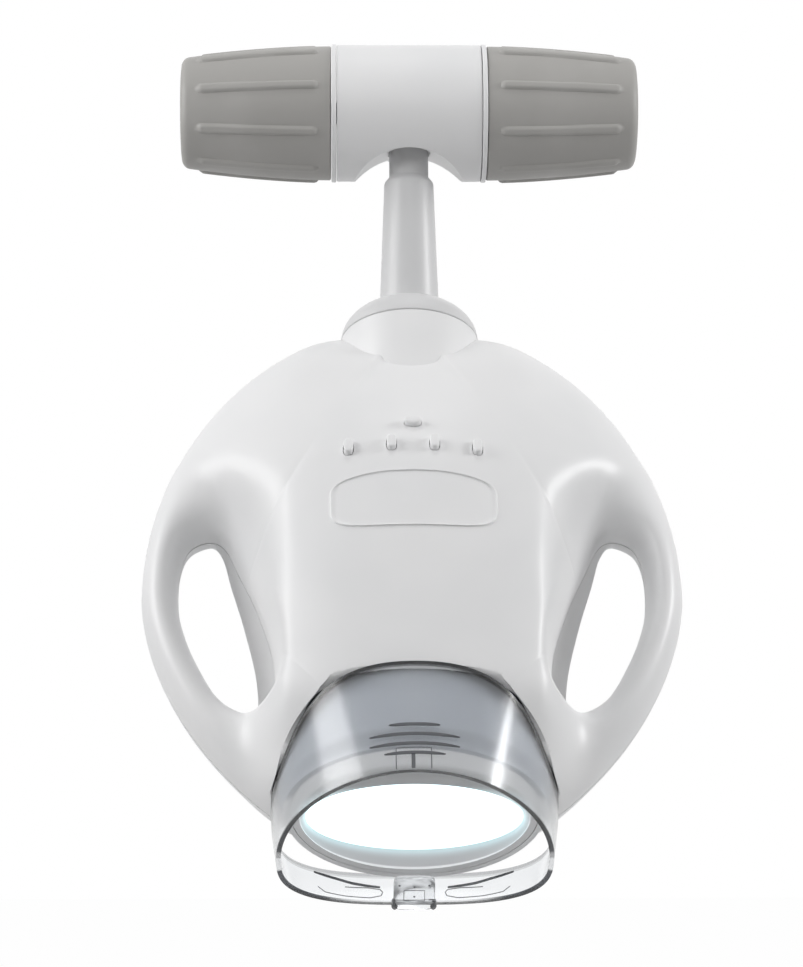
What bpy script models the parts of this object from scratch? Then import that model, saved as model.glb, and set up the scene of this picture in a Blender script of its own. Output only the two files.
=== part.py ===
"""Overhead dental curing light: crossbar hub, tilting stem and swivelling lamp head.

Metres, +Z up, front towards -Y. The origin is the middle of the flat face on the
hub's back boss, where the room arm bolts on. The head is modelled in its own frame:
u to the right, v down along the head from the swivel seam, w out of its front face.
"""
import math

import bmesh
import bpy
import numpy as np
from mathutils import Matrix, Vector
from mathutils.bvhtree import BVHTree
from mathutils.kdtree import KDTree

for old_object in list(bpy.data.objects):
    bpy.data.objects.remove(old_object)

# Clearances shared by all pieces
GAP = 0.0003
OVERRUN = 0.004
FINE_EDGE = 0.0008
WELD = 0.0000001

# Crossbar hub, its saddle and the boss that the arm bolts to
HUB_RADIUS = 0.0314
HUB_LENGTH = 0.0662
HUB_BORE_RADIUS = 0.0150
ARM_STANDOFF = 0.0450
BOSS_RADIUS = 0.0200
BOSS_RECESS_RADIUS = 0.0060
BOSS_RECESS_DEPTH = 0.0080
SADDLE_RADIUS = 0.0300
SADDLE_DROP = 0.0480
RING_THICKNESS = 0.0022
RING_RADIUS = 0.0318

# Clamp rod, knobs and their inserts
ROD_RADIUS = 0.0050
ROD_END_INSET = 0.0120
KNOB_LENGTH = 0.0686
KNOB_INNER_RADIUS = 0.0312
KNOB_OUTER_RADIUS = 0.0252
KNOB_TAPER_POWER = 1.5
KNOB_EDGE = 0.0030
KNOB_WALL = 0.0030
KNOB_BOSS_RADIUS = 0.0120
KNOB_RIB_COUNT = 9
KNOB_RIB_HEIGHT = 0.0013
KNOB_RIB_WIDTH = 0.0044
KNOB_RIB_INSET_OUTER = 0.0066
KNOB_RIB_INSET_INNER = 0.0058
INSERT_RADIUS = 0.0080
INSERT_LENGTH = 0.0220

# Stem, its hinge barrel and friction discs
LEAN_DEG = 12.0
HEAD_LEAN_DEG = 28.0
STEM_DROP = 0.1073
BARREL_LENGTH = 0.0300
FRICTION_DISC_THICKNESS = 0.0020
SPIGOT_RADIUS = 0.0090
SPIGOT_LENGTH = 0.0310
COLLAR_RADIUS = 0.0112
COLLAR_CHAMFER = 0.0024
STEM_FOOT_RADIUS = 0.0136
STEM_FOOT_ENGAGEMENT = 0.0040
TILT_RANGE_DEG = 25.0

# Dome cap, neck and swivel
NECK_RADIUS = 0.0311
NECK_WALL = 0.0030
NECK_LENGTH = 0.0480
NECK_FLOOR_DEPTH = 0.0100
NECK_FLOOR_THICKNESS = 0.0050
DOME_HEIGHT = 0.0185
DOME_WALL = 0.0040
SPINDLE_RADIUS = 0.0075
SPINDLE_FLANGE_RADIUS = 0.0150
SPINDLE_FLANGE_THICKNESS = 0.0040
SPINDLE_THREAD_LENGTH = 0.0160
WASHER_RADIUS = 0.0130
WASHER_THICKNESS = 0.0015
SWIVEL_NUT_RADIUS = 0.0120
SWIVEL_NUT_THICKNESS = 0.0070

# Light outlet's place: its axis leans out of the head's own axis
OUTLET_LEAN_DEG = 14.0
OUTLET_DOWN = 0.2400
OUTLET_OUT = 0.0200

# Head outline in its own frame; its foot ends where the light comes out
HEAD_HALF_WIDTH = 0.1185
HEAD_WIDEST = 0.1310
HEAD_RISE = 0.1395
FALL_OVERSHOOT = 0.0180
HEAD_TOP = -0.0015
HEAD_BOTTOM = OUTLET_DOWN
HEAD_FALL = HEAD_BOTTOM + FALL_OVERSHOOT - HEAD_WIDEST
OUTLINE_BLEND = 0.0060
FALL_POWER = 1.7
SHELL_WALL = 0.0024

# Front face of the head
FRONT_HEIGHT = 0.0575
FRONT_EDGE_REACH = 0.1350
FRONT_LOW_REACH = 0.0400
LOW_REACH_START = 0.1000
LOW_REACH_LENGTH = 0.0800
FRONT_EDGE_POWER = 1.45
CREST_HALF_WIDTH = 0.0560
CREST_FLARE = 0.0380
CREST_FLARE_START = 0.1120
CREST_FLARE_REACH = 0.0460
CREST_POWER = 1.9
CREST_DIP = 0.0060
WALL_REACH = 0.0200
PANEL_CROWN = 0.0130
PANEL_CROWN_WIDTH = 0.0560
NOSE_DROP = 0.0170
NOSE_DROP_REACH = 0.0420
NOSE_DROP_AHEAD = 0.0520
HOLE_EDGE_HEIGHT = 0.0620
HOLE_EDGE_REACH = 0.0150
BAR_HEIGHT = 0.0165

# Back of the head
BACK_DEPTH = 0.0400
BACK_EDGE_REACH = 0.0360
BACK_EDGE_POWER = 1.6
BACK_BAR_DEPTH = 0.0150
BACK_HOLE_REACH = 0.0120
HOLE_FLARE = 0.0075
HOLE_FLARE_DEPTH = 0.0180
HOLE_PULL_POWER = 0.7
HOLE_TOP_SHARE = 0.6

# Finger hole: its box and the places of its points as shares of that box
HOLE_INNER = 0.0598
GRIP_WIDTH = 0.0161
HOLE_OUTER = HEAD_HALF_WIDTH - GRIP_WIDTH
HOLE_ABOVE = 0.0290
HOLE_UPPER = HEAD_WIDEST - HOLE_ABOVE
HOLE_FALL_SHARE = 0.4425
HOLE_LOWER = HEAD_WIDEST + HOLE_FALL_SHARE * HEAD_FALL
HOLE_POINT_SHARES = (
    (0.00, 0.90), (0.03, 0.66), (0.20, 0.39), (0.38, 0.19), (0.52, 0.045), (0.68, 0.00),
    (0.89, 0.05), (0.985, 0.19), (0.99, 0.38), (0.93, 0.53), (0.79, 0.71), (0.565, 0.905),
    (0.33, 0.985), (0.11, 0.99),
)

# Mesh counts of the moulded shells
RING_COUNT = 38
FINE_COUNT = 1520
SPOKE_COUNT = 8
REFINE_AROUND = 8
REFINE_OUT = 9
SOFTEN_PASSES = 30
SOFTEN_STRENGTH_SHARE = 0.9
SOFTEN_MARGIN = 0.0100
HOLE_STEPS = 12
SIDE_SHARE = 0.62
EASE_SHARE = 0.55
FLARE_FLOOR_SHARE = 0.08
ROUND_COUNT = 36
SLEEVE_COUNT = 24
SMALL_ROUND_COUNT = 14
OVAL_COUNT = 36
DOME_STEPS = 4
RIB_STEPS = 5
RIB_TOP_SHARE = 0.55
RIB_TURN_DEG = 65.0

# Clear guide: a rounded D, its back edge cut to the arch of the head
GUIDE_HALF_WIDTH = 0.0582
GUIDE_CENTRE_DROP = 0.0140
GUIDE_TOP = 0.0480
GUIDE_BOTTOM = 0.0470
GUIDE_TOP_POWER = 1.9
GUIDE_LOW_POWER = 3.0
GUIDE_FLARE_SHARE = 0.13
GUIDE_TOP_FLARE_SHARE = 0.05
GUIDE_WALL = 0.0020
GUIDE_LIP = 0.0120
GUIDE_BACK = 0.0440
GUIDE_BACK_SHARES = (
    (-1.25, 0.05), (-0.25, 0.09), (-0.125, 0.23), (0.0, 0.32), (0.31, 0.39), (0.60, 0.67),
    (0.78, 0.825), (0.90, 0.91), (1.08, 1.0),
)
GUIDE_CLEARANCE = 0.0005
GUIDE_STEPS = 3
GUIDE_TRAVEL = 0.0600
TAB_HALF_WIDTH = 0.0100
TAB_DROP = 0.0050
TAB_RISE = 0.0180
TAB_THICKNESS = 0.0030

# Nose, bezel, lens and reflector
NOSE_SIDE_GAP = 0.0017
NOSE_TOP_GAP = 0.0065
NOSE_LOW_GAP = 0.0010
NOSE_CENTRE_DROP = 0.0030
NOSE_TUCK_START = 0.0130
NOSE_TUCK_SHARE = 0.35
BEZEL_SLOPE_SHARE = 0.077
BEZEL_LAND = 0.0030
BEZEL_STEPS = 3
BEZEL_WIDTH = 0.0085
BEZEL_FOOT = 0.0060
NOSE_WALL = 0.0022
NOSE_LENGTH = 0.0400
LENS_HALF_HEIGHT = 0.0235
LENS_THICKNESS = 0.0030
LENS_RECESS = 0.0100
REFLECTOR_WALL = 0.0020
REFLECTOR_BACK_HALF_WIDTH = 0.0300
REFLECTOR_BACK_HALF_HEIGHT = 0.0150
LAMP_DROP = 0.0080

# Lamp engine inside the head
BOARD_THICKNESS = 0.0016
LED_BOARD_HALF_WIDTH = 0.0330
LED_BOARD_HALF_HEIGHT = 0.0170
SINK_HALF_WIDTH = 0.0340
SINK_HALF_HEIGHT = 0.0190
SINK_BASE = 0.0050
SINK_FIN_LENGTH = 0.0240
SINK_FIN_COUNT = 9
SINK_FIN_THICKNESS = 0.0016
FAN_SIZE = 0.0500
FAN_DEPTH = 0.0150
FAN_WALL = 0.0020
FAN_HUB_RADIUS = 0.0120
FAN_BLADE_COUNT = 7
FAN_BLADE_THICKNESS = 0.0012
FAN_BLADE_HALF = 0.0040
FAN_PITCH_DEG = 35.0

# Control panel
CONTROL_BOARD_WIDTH = 0.0800
CONTROL_BOARD_HEIGHT = 0.0340
CONTROL_BOARD_DOWN = 0.0760
BUTTON_ROW_DOWN = 0.0800
BUTTON_PITCH = 0.0186
BUTTON_HALF_WIDTH = 0.0021
BUTTON_HALF_LENGTH = 0.0036
BUTTON_PROUD = 0.0030
POWER_BUTTON_DOWN = 0.0680
POWER_HALF_WIDTH = 0.0036
POWER_HALF_LENGTH = 0.0022
SWITCH_HEIGHT = 0.0040
BUTTON_TRAVEL = 0.0010
BUTTON_TILT_DEG = 12.0
BUTTON_ROUND = 0.0010
BUTTON_POWER = 2.6
POWER_BUTTON_POWER = 2.0
BUTTON_FLANGE = 0.0010
BUTTON_FLANGE_DEPTH = 0.0020
BUTTON_ROW_SAG = 0.0012
CONTROL_BOARD_DEPTH = 0.0165
BOARD_POST_RADIUS = 0.0025
POST_SHARE = 0.5
PLATE_DOWN = 0.1080
PLATE_HALF_WIDTH = 0.0360
PLATE_HALF_HEIGHT = 0.0140
PLATE_THICKNESS = 0.0008
PLATE_STEP = 0.0003
PLATE_ARCH = 0.0040
PLATE_POWER = 5.0
PLATE_COUNT = 28
PLATE_RING_SHARES = (0.05, 0.55, 1.0)

# Vents and screws of the back shell
VENT_COUNT = 7
VENT_WIDTH = 0.0030
VENT_PITCH = 0.0070
VENT_HALF_LENGTH = 0.0210
VENT_DOWN = 0.1240
SHELL_SMOOTH_DEG = 55.0


def vec(x, y, z):
    return np.array([x, y, z], dtype=float)


HEAD_LEAN = math.radians(HEAD_LEAN_DEG)
STEM_LEAN = math.radians(LEAN_DEG)
OUTLET_LEAN = math.radians(OUTLET_LEAN_DEG)
U_DIR = vec(1, 0, 0)
V_DIR = vec(0, -math.sin(HEAD_LEAN), -math.cos(HEAD_LEAN))
W_DIR = vec(0, -math.cos(HEAD_LEAN), math.sin(HEAD_LEAN))
HUB_AXIS = vec(0, -ARM_STANDOFF, 0)
STEM_DIR = vec(0, -math.sin(STEM_LEAN), -math.cos(STEM_LEAN))
STEM_LENGTH = STEM_DROP / math.cos(STEM_LEAN)
SEAM_POINT = HUB_AXIS + STEM_LENGTH * STEM_DIR
OUT_DIR = V_DIR * math.cos(OUTLET_LEAN) + W_DIR * math.sin(OUTLET_LEAN)
UP_DIR = W_DIR * math.cos(OUTLET_LEAN) - V_DIR * math.sin(OUTLET_LEAN)
OUTLET_POINT = SEAM_POINT + OUTLET_DOWN * V_DIR + OUTLET_OUT * W_DIR


def axes_matrix(point, x_dir, y_dir, z_dir):
    """Placing matrix whose columns are the three local directions."""
    matrix = Matrix.Identity(4)
    for column, direction in enumerate((x_dir, y_dir, z_dir)):
        for row in range(3):
            matrix[row][column] = float(direction[row])
    for row in range(3):
        matrix[row][3] = float(point[row])
    return matrix


HEAD_PLACE = axes_matrix(SEAM_POINT, U_DIR, -V_DIR, W_DIR)
NECK_PLACE = axes_matrix(SEAM_POINT, U_DIR, W_DIR, V_DIR)
OUTLET_PLACE = axes_matrix(OUTLET_POINT, U_DIR, UP_DIR, OUT_DIR)
STEM_PLACE = axes_matrix(HUB_AXIS, U_DIR, np.cross(STEM_DIR, U_DIR), STEM_DIR)
HUB_PLACE = axes_matrix(HUB_AXIS, vec(0, 1, 0), vec(0, 0, 1), vec(1, 0, 0))
LEFT_PLACE = axes_matrix(HUB_AXIS, vec(0, -1, 0), vec(0, 0, 1), vec(-1, 0, 0))


def material(name, color, roughness, metallic=0.0, alpha=1.0):
    """Plain Principled material in the piece's own colour."""
    finish = bpy.data.materials.new(name)
    finish.use_nodes = True
    shader = finish.node_tree.nodes["Principled BSDF"]
    shader.inputs["Base Color"].default_value = (*color, 1.0)
    shader.inputs["Roughness"].default_value = roughness
    shader.inputs["Metallic"].default_value = metallic
    shader.inputs["Alpha"].default_value = alpha
    return finish


def add_piece(name, mesh, place, finish=None, parent=None, smooth_deg=35.0):
    """Link a mesh as an object at a placing matrix, round faces shaded smooth."""
    piece = bpy.data.objects.new(name, mesh)
    bpy.context.collection.objects.link(piece)
    piece.matrix_world = place
    if finish is not None:
        mesh.materials.append(finish)
        mesh.shade_smooth()
        mesh.set_sharp_from_angle(angle=math.radians(smooth_deg))
    else:
        piece.hide_render = True
        piece.display_type = "WIRE"
    if parent is not None:
        piece.parent = parent
        piece.matrix_parent_inverse = parent.matrix_world.inverted()
    return piece


def mesh_from(name, points, faces):
    """Closed mesh from points and faces, with its faces pointing out."""
    mesh = bpy.data.meshes.new(name)
    mesh.from_pydata([tuple(point) for point in points], [], faces)
    work = bmesh.new()
    work.from_mesh(mesh)
    bmesh.ops.recalc_face_normals(work, faces=work.faces)
    if work.calc_volume(signed=True) < 0:
        bmesh.ops.reverse_faces(work, faces=work.faces)
    work.to_mesh(mesh)
    work.free()
    return mesh


def stack_mesh(name, loops, closed=False):
    """Skin a stack of equal loops; its ends are capped, or joined to each other."""
    count = len(loops[0])
    points = [point for loop in loops for point in loop]
    faces = []
    pairs = list(zip(range(len(loops) - 1), range(1, len(loops))))
    if closed:
        pairs.append((len(loops) - 1, 0))
    for low, high in pairs:
        for index in range(count):
            after = (index + 1) % count
            faces.append((low * count + index, low * count + after,
                          high * count + after, high * count + index))
    if not closed:
        faces.append(tuple(range(count)))
        faces.append(tuple(len(points) - count + index for index in range(count)))
    return mesh_from(name, points, faces)


def oval_loop(half_x, half_y, z, count, power=2.0):
    """Loop of a superellipse round the middle."""
    return dee_loop(half_x, half_y, half_y, 0, z, count, power, power)


def dee_loop(half_x, top, bottom, drop, z, count, top_power=2.0, low_power=2.0):
    """Rounded D: its upper and lower halves meet at a level below the middle."""
    loop = []
    for index in range(count):
        angle = 2 * math.pi * index / count
        cosine = math.cos(angle)
        sine = math.sin(angle)
        power = top_power if sine >= 0 else low_power
        reach = top + drop if sine >= 0 else bottom - drop
        x = half_x * math.copysign(abs(cosine) ** (2 / power), cosine)
        y = reach * math.copysign(abs(sine) ** (2 / power), sine) - drop
        loop.append((x, y, z))
    return loop


def turned(name, profile, count, closed=False):
    """Turn a profile of (radius, height) pairs round local Z."""
    loops = [oval_loop(radius, radius, height, count) for radius, height in profile]
    return stack_mesh(name, loops, closed)


def tube(name, outer, inner, low, high, count):
    """Straight pipe along local Z."""
    profile = [(inner, low), (outer, low), (outer, high), (inner, high)]
    return turned(name, profile, count, closed=True)


def box_mesh(name, x_span, y_span, z_span):
    """Block between three spans."""
    corners = [(x_span[0], y_span[0]), (x_span[1], y_span[0]),
               (x_span[1], y_span[1]), (x_span[0], y_span[1])]
    loops = [[(x, y, z) for x, y in corners] for z in z_span]
    return stack_mesh(name, loops)


def cut(piece, cutter, operation="DIFFERENCE"):
    """Boolean one object with another and bake the result into its mesh."""
    modifier = piece.modifiers.new(operation.lower(), "BOOLEAN")
    modifier.operation = operation
    modifier.solver = "EXACT"
    modifier.object = cutter
    bpy.context.view_layer.update()
    evaluated = piece.evaluated_get(bpy.context.evaluated_depsgraph_get())
    result = bpy.data.meshes.new_from_object(evaluated)
    piece.modifiers.remove(modifier)
    old = piece.data
    piece.data = result
    bpy.data.meshes.remove(old)
    work = bmesh.new()
    work.from_mesh(result)
    bmesh.ops.dissolve_degenerate(work, edges=work.edges, dist=WELD)
    work.to_mesh(result)
    work.free()
    bpy.data.objects.remove(cutter)


def joint_empty(name, point, parent=None):
    """Empty on a joint's axis that carries the moving pieces."""
    holder = bpy.data.objects.new(name, None)
    bpy.context.collection.objects.link(holder)
    holder.empty_display_size = NECK_RADIUS
    holder.matrix_world = Matrix.Translation(Vector(point))
    if parent is not None:
        holder.parent = parent
        holder.matrix_parent_inverse = parent.matrix_world.inverted()
    return holder


# Head surfaces: heights over the head's own u, v plane

def smooth_min(first, second, blend):
    """Lower of two heights with a rounded meeting line."""
    share = np.clip(0.5 + 0.5 * (second - first) / blend, 0, 1)
    return second * (1 - share) + first * share - blend * share * (1 - share)


def smooth_step(value):
    """Soft step from 0 to 1 for values from 0 to 1."""
    value = np.clip(value, 0, 1)
    return value * value * (3 - 2 * value)


def outline_points():
    """Right half of the outline from the top middle to the bottom middle."""
    angles = np.linspace(0, math.pi, FINE_COUNT)
    u = HEAD_HALF_WIDTH * np.sin(angles)
    v = HEAD_WIDEST - HEAD_RISE * np.cos(angles)
    lower = angles > math.pi / 2
    power = 2 / FALL_POWER
    u[lower] = HEAD_HALF_WIDTH * np.abs(np.sin(angles[lower])) ** power
    v[lower] = HEAD_WIDEST + HEAD_FALL * np.abs(np.cos(angles[lower])) ** power
    v = -smooth_min(-v, np.full_like(v, -HEAD_TOP), OUTLINE_BLEND)
    v = smooth_min(v, np.full_like(v, HEAD_BOTTOM), OUTLINE_BLEND)
    return np.column_stack([u, v])


def hole_points(count, flare=0.0):
    """Finger hole loop; flare draws its inner side towards the handle."""
    corners = []
    for across, down in HOLE_POINT_SHARES:
        u = HOLE_INNER + across * (HOLE_OUTER - HOLE_INNER)
        v = HOLE_UPPER + down * (HOLE_LOWER - HOLE_UPPER)
        pull = flare * (1 - across) ** HOLE_PULL_POWER
        corners.append((u + pull, v + pull * (1 - down) * HOLE_TOP_SHARE))
    corners = np.array(corners)
    total = len(corners)
    loop = []
    for index in range(total):
        before, here = corners[index - 1], corners[index]
        after, next_after = corners[(index + 1) % total], corners[(index + 2) % total]
        for step in range(count):
            t = step / count
            loop.append(0.5 * (2 * here + (after - before) * t
                               + (2 * before - 5 * here + 4 * after - next_after) * t * t
                               + (3 * here - before - 3 * after + next_after) * t ** 3))
    return np.array(loop)


def nearest_distance(points, loop):
    """Distance from each point to the nearest point of a loop."""
    tree = KDTree(len(loop))
    for index, (u, v) in enumerate(loop):
        tree.insert((u, v, 0), index)
    tree.balance()
    gaps = [tree.find((u, v, 0))[2] for u, v in points.reshape(-1, 2)]
    return np.array(gaps).reshape(points.shape[:-1])


def rounded_rise(distance, reach, height, power=2.0):
    """Height of a rounded edge at a distance inside it."""
    share = 1 - np.clip(distance / reach, 0, 1)
    return height * np.clip(1 - share ** 2, 0, 1) ** (1 / power)


def bar_height(to_hole, to_outline, height):
    """Half oval between the finger hole and the outline."""
    total = to_hole + to_outline + WELD
    return height * 2 * np.sqrt(to_hole * to_outline) / total


def crest_half_width(v):
    """Where the front panel turns down into the wall beside the finger hole."""
    rise = np.clip((CREST_FLARE_START - v) / CREST_FLARE_REACH, 0, 3)
    fall = np.clip((v - CREST_FLARE_START) / HEAD_FALL, 0, 1)
    return CREST_HALF_WIDTH - CREST_DIP * fall * (1 - fall) + CREST_FLARE * rise ** CREST_POWER


def front_height(u, v, to_hole, to_outline):
    """Height of the front shell's face."""
    across = np.abs(u)
    panel = FRONT_HEIGHT - PANEL_CROWN * (across / PANEL_CROWN_WIDTH) ** 2
    nose = smooth_step((v - OUTLET_DOWN + NOSE_DROP_AHEAD) / NOSE_DROP_REACH)
    panel = panel - NOSE_DROP * nose * smooth_step(across / PANEL_CROWN_WIDTH)
    low = smooth_step((v - LOW_REACH_START) / LOW_REACH_LENGTH)
    reach = FRONT_EDGE_REACH + (FRONT_LOW_REACH - FRONT_EDGE_REACH) * low
    edge = rounded_rise(to_outline, reach, FRONT_HEIGHT, FRONT_EDGE_POWER)
    body = smooth_min(panel, edge, OUTLINE_BLEND)
    rim = rounded_rise(to_hole, HOLE_EDGE_REACH, HOLE_EDGE_HEIGHT)
    body = np.minimum(body, rim)
    bar = bar_height(to_hole, to_outline, BAR_HEIGHT)
    keep = 1 - smooth_step((across - crest_half_width(v)) / WALL_REACH)
    return np.maximum(bar + (body - bar) * keep, 0)


def back_height(u, v, to_hole, to_outline):
    """Depth of the back shell's face below the parting plane."""
    edge = rounded_rise(to_outline, BACK_EDGE_REACH, BACK_DEPTH, BACK_EDGE_POWER)
    rim = rounded_rise(to_hole, BACK_HOLE_REACH, BACK_DEPTH)
    body = np.minimum(edge, rim)
    bar = bar_height(to_hole, to_outline, BACK_BAR_DEPTH)
    keep = 1 - smooth_step((np.abs(u) - CREST_HALF_WIDTH - HOLE_FLARE) / WALL_REACH)
    return np.maximum(bar + (body - bar) * keep, 0)


def even_marks(path, count, closed_end=False):
    """Evenly spaced points along an open path, its last point left out."""
    steps = np.linalg.norm(np.diff(path, axis=0), axis=1)
    lengths = np.concatenate([[0], np.cumsum(steps)])
    marks = np.linspace(0, lengths[-1], count, endpoint=closed_end)
    return np.column_stack([np.interp(marks, lengths, path[:, axis]) for axis in (0, 1)])


def hole_arcs(loop, top, bottom):
    """Outer and inner arcs of the finger hole between two directions."""
    first = int(np.argmin(np.linalg.norm(loop - top, axis=1)))
    loop = np.roll(loop, -first, axis=0)
    last = int(np.argmin(np.linalg.norm(loop - bottom, axis=1)))
    one = loop[:last + 1]
    other = np.vstack([loop[last:], loop[:1]])
    if one[:, 0].max() >= other[:, 0].max():
        return one, other
    return other[::-1], one[::-1]


def ring_grid(flare=0.0):
    """Fine rows of points from the finger hole out to the edge of the right half."""
    side = outline_points()
    middle = np.array([side[-1], side[0]])
    side_count = round(RING_COUNT * SIDE_SHARE) * REFINE_AROUND
    rest = RING_COUNT * REFINE_AROUND - side_count
    outer = np.vstack([even_marks(side, side_count), even_marks(middle, rest)])
    hole = hole_points(HOLE_STEPS, flare)
    across, back = hole_arcs(hole, hole_corner(hole, 0), hole_corner(hole, 1))
    inner = np.vstack([even_marks(across, side_count), even_marks(back, rest)])
    rows = []
    for step in range(SPOKE_COUNT * REFINE_OUT + 1):
        t = step / SPOKE_COUNT / REFINE_OUT
        eased = 0.5 * (1 - math.cos(math.pi * t))
        share = EASE_SHARE * eased + (1 - EASE_SHARE) * t
        rows.append(inner * (1 - share) + outer * share)
    return np.array(rows), side_count


def soften(rise, share):
    """Even out a grid of heights; the share is 0 where a height is kept."""
    for _ in range(SOFTEN_PASSES):
        outside = np.concatenate([rise[1:], rise[-2:-1]])
        inside = np.concatenate([rise[:1], rise[:-1]])
        mean = (outside + inside + np.roll(rise, 1, axis=1) + np.roll(rise, -1, axis=1)) / 4
        rise = rise + (mean - rise) * share
    return rise


def hole_corner(loop, low):
    """Point of the finger hole that faces the top or the bottom of the middle line."""
    aim = np.array([0, HEAD_BOTTOM if low else HEAD_TOP])
    return loop[int(np.argmin(np.linalg.norm(loop - aim, axis=1)))]


def inward_directions(loop, towards):
    """Unit directions square to a closed loop, on the side of the given points."""
    tangent = np.roll(loop, -1, axis=0) - np.roll(loop, 1, axis=0)
    square = np.column_stack([-tangent[:, 1], tangent[:, 0]])
    square /= np.linalg.norm(square, axis=1)[:, None]
    flip = np.sign(np.sum(square * (towards - loop), axis=1))
    return square * np.where(flip == 0, 1, flip)[:, None]


def shell_face(side, height, flare=0.0, flare_depth=0.0):
    """Outer face of one shell: places and softened heights, thinned to the mesh's own grid."""
    rows, side_count = ring_grid(flare)
    outline = outline_points()
    both = np.vstack([outline, outline * np.array([-1, 1])])
    to_hole = nearest_distance(rows, hole_points(HOLE_STEPS, flare))
    to_outline = nearest_distance(rows, both)
    to_hole[0] = 0
    to_outline[-1, :side_count + 1] = 0
    rise = height(rows[..., 0], rows[..., 1], to_hole, to_outline)
    near = np.minimum(to_hole, to_outline)
    rise = soften(rise, SOFTEN_STRENGTH_SHARE * smooth_step(near / SOFTEN_MARGIN))
    rows = rows[::REFINE_OUT, ::REFINE_AROUND]
    rise = rise[::REFINE_OUT, ::REFINE_AROUND]
    if flare:
        seam_rows = ring_grid()[0][::REFINE_OUT, ::REFINE_AROUND]
        pull = nearest_distance(rows[0], hole_points(HOLE_STEPS))
        share = FLARE_FLOOR_SHARE + (1 - FLARE_FLOOR_SHARE) * pull / pull.max()
        fade = np.linspace(1, 0, SPOKE_COUNT + 1)[:, None]
        rise = rise + flare_depth * share * (1 - rise / BACK_DEPTH) * fade
        rows = np.concatenate([seam_rows[:1], rows])
        rise = np.concatenate([np.zeros_like(rise[:1]), rise])
    return np.dstack([rows, side * (rise + GAP / 2)]), side_count // REFINE_AROUND


def shell_mesh(name, side, outer, side_count):
    """Moulded half shell under its outer face, mirrored, with an even wall."""
    rows = outer[..., :2]
    last = len(rows) - 1
    normals = grid_normals(outer, side)
    inner = outer - SHELL_WALL * normals
    hole_in = inward_directions(rows[0], rows[-1])
    inner[0, :, :2] = rows[0] + SHELL_WALL * hole_in
    rim = inward_directions(rows[last], rows[last - 1])
    inner[last, :side_count, :2] = (rows[last] + SHELL_WALL * rim)[:side_count]
    inner[..., 2] = side * np.maximum(side * inner[..., 2], GAP / 2)
    inner[0, :, 2] = side * GAP / 2
    inner[last, :side_count, 2] = side * GAP / 2
    for corner in (0, side_count):
        inner[last, corner, 0] = 0
    inner[last, side_count:, 0] = 0
    inner[last, 0] = (0, rows[last, 0, 1] + SHELL_WALL, side * GAP / 2)
    low = side_count
    inner[last, low] = (0, rows[last, low, 1] - SHELL_WALL, side * GAP / 2)
    outer[last, low, 2] = side * GAP / 2
    outer[last, 0, 2] = side * GAP / 2
    points = []
    index = {}

    def place(layer, grid, mirror):
        for j in range(last + 1):
            for i in range(RING_COUNT):
                on_middle = j == last and (i == 0 or i >= side_count)
                if mirror and on_middle:
                    index[layer, 1, j, i] = index[layer, 0, j, i]
                    continue
                u, v, w = grid[j, i]
                points.append((-u if mirror else u, -v, w))
                index[layer, int(mirror), j, i] = len(points) - 1

    for layer, grid in ((0, outer), (1, inner)):
        place(layer, grid, False)
        place(layer, grid, True)
    faces = []
    for half in (0, 1):
        for layer in (0, 1):
            for j in range(last):
                for i in range(RING_COUNT):
                    k = (i + 1) % RING_COUNT
                    faces.append((index[layer, half, j, i], index[layer, half, j, k],
                                  index[layer, half, j + 1, k], index[layer, half, j + 1, i]))
        for i in range(RING_COUNT):
            k = (i + 1) % RING_COUNT
            faces.append((index[0, half, 0, i], index[0, half, 0, k],
                          index[1, half, 0, k], index[1, half, 0, i]))
        for i in range(side_count):
            faces.append((index[0, half, last, i], index[0, half, last, i + 1],
                          index[1, half, last, i + 1], index[1, half, last, i]))
    return mesh_from(name, points, faces)


def grid_normals(grid, side):
    """Unit normals of a ring grid's points, pointing out of the shell."""
    along = np.roll(grid, -1, axis=1) - np.roll(grid, 1, axis=1)
    across = np.gradient(grid, axis=0)
    normals = np.cross(along, across)
    normals /= np.linalg.norm(normals, axis=2)[..., None]
    flip = np.sign(normals[..., 2]) * side
    return normals * np.where(flip == 0, 1, flip)[..., None]


WHITE = material("white_plastic", (0.86, 0.87, 0.88), 0.35)
GREY = material("grey_grip", (0.42, 0.41, 0.40), 0.6)
SILVER = material("silver_plastic", (0.55, 0.57, 0.60), 0.35)
CLEAR = material("clear_plastic", (0.75, 0.80, 0.84), 0.08, alpha=0.35)
FROST = material("frosted_lens", (0.95, 0.97, 0.98), 0.4)
STEEL = material("steel", (0.60, 0.60, 0.62), 0.3, metallic=1.0)
BRASS = material("brass", (0.72, 0.55, 0.28), 0.35, metallic=1.0)
ALUMINIUM = material("aluminium", (0.70, 0.71, 0.73), 0.35, metallic=1.0)
BOARD_GREEN = material("circuit_board", (0.05, 0.22, 0.12), 0.5)
BLACK = material("black_plastic", (0.05, 0.05, 0.06), 0.5)
FRICTION = material("friction_disc", (0.30, 0.22, 0.16), 0.7)

TILT = joint_empty("tilt_axis", HUB_AXIS)
SWIVEL = joint_empty("swivel_axis", SEAM_POINT, TILT)


# Crossbar hub: a bored tube with a pipe saddle below and the arm boss behind

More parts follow.
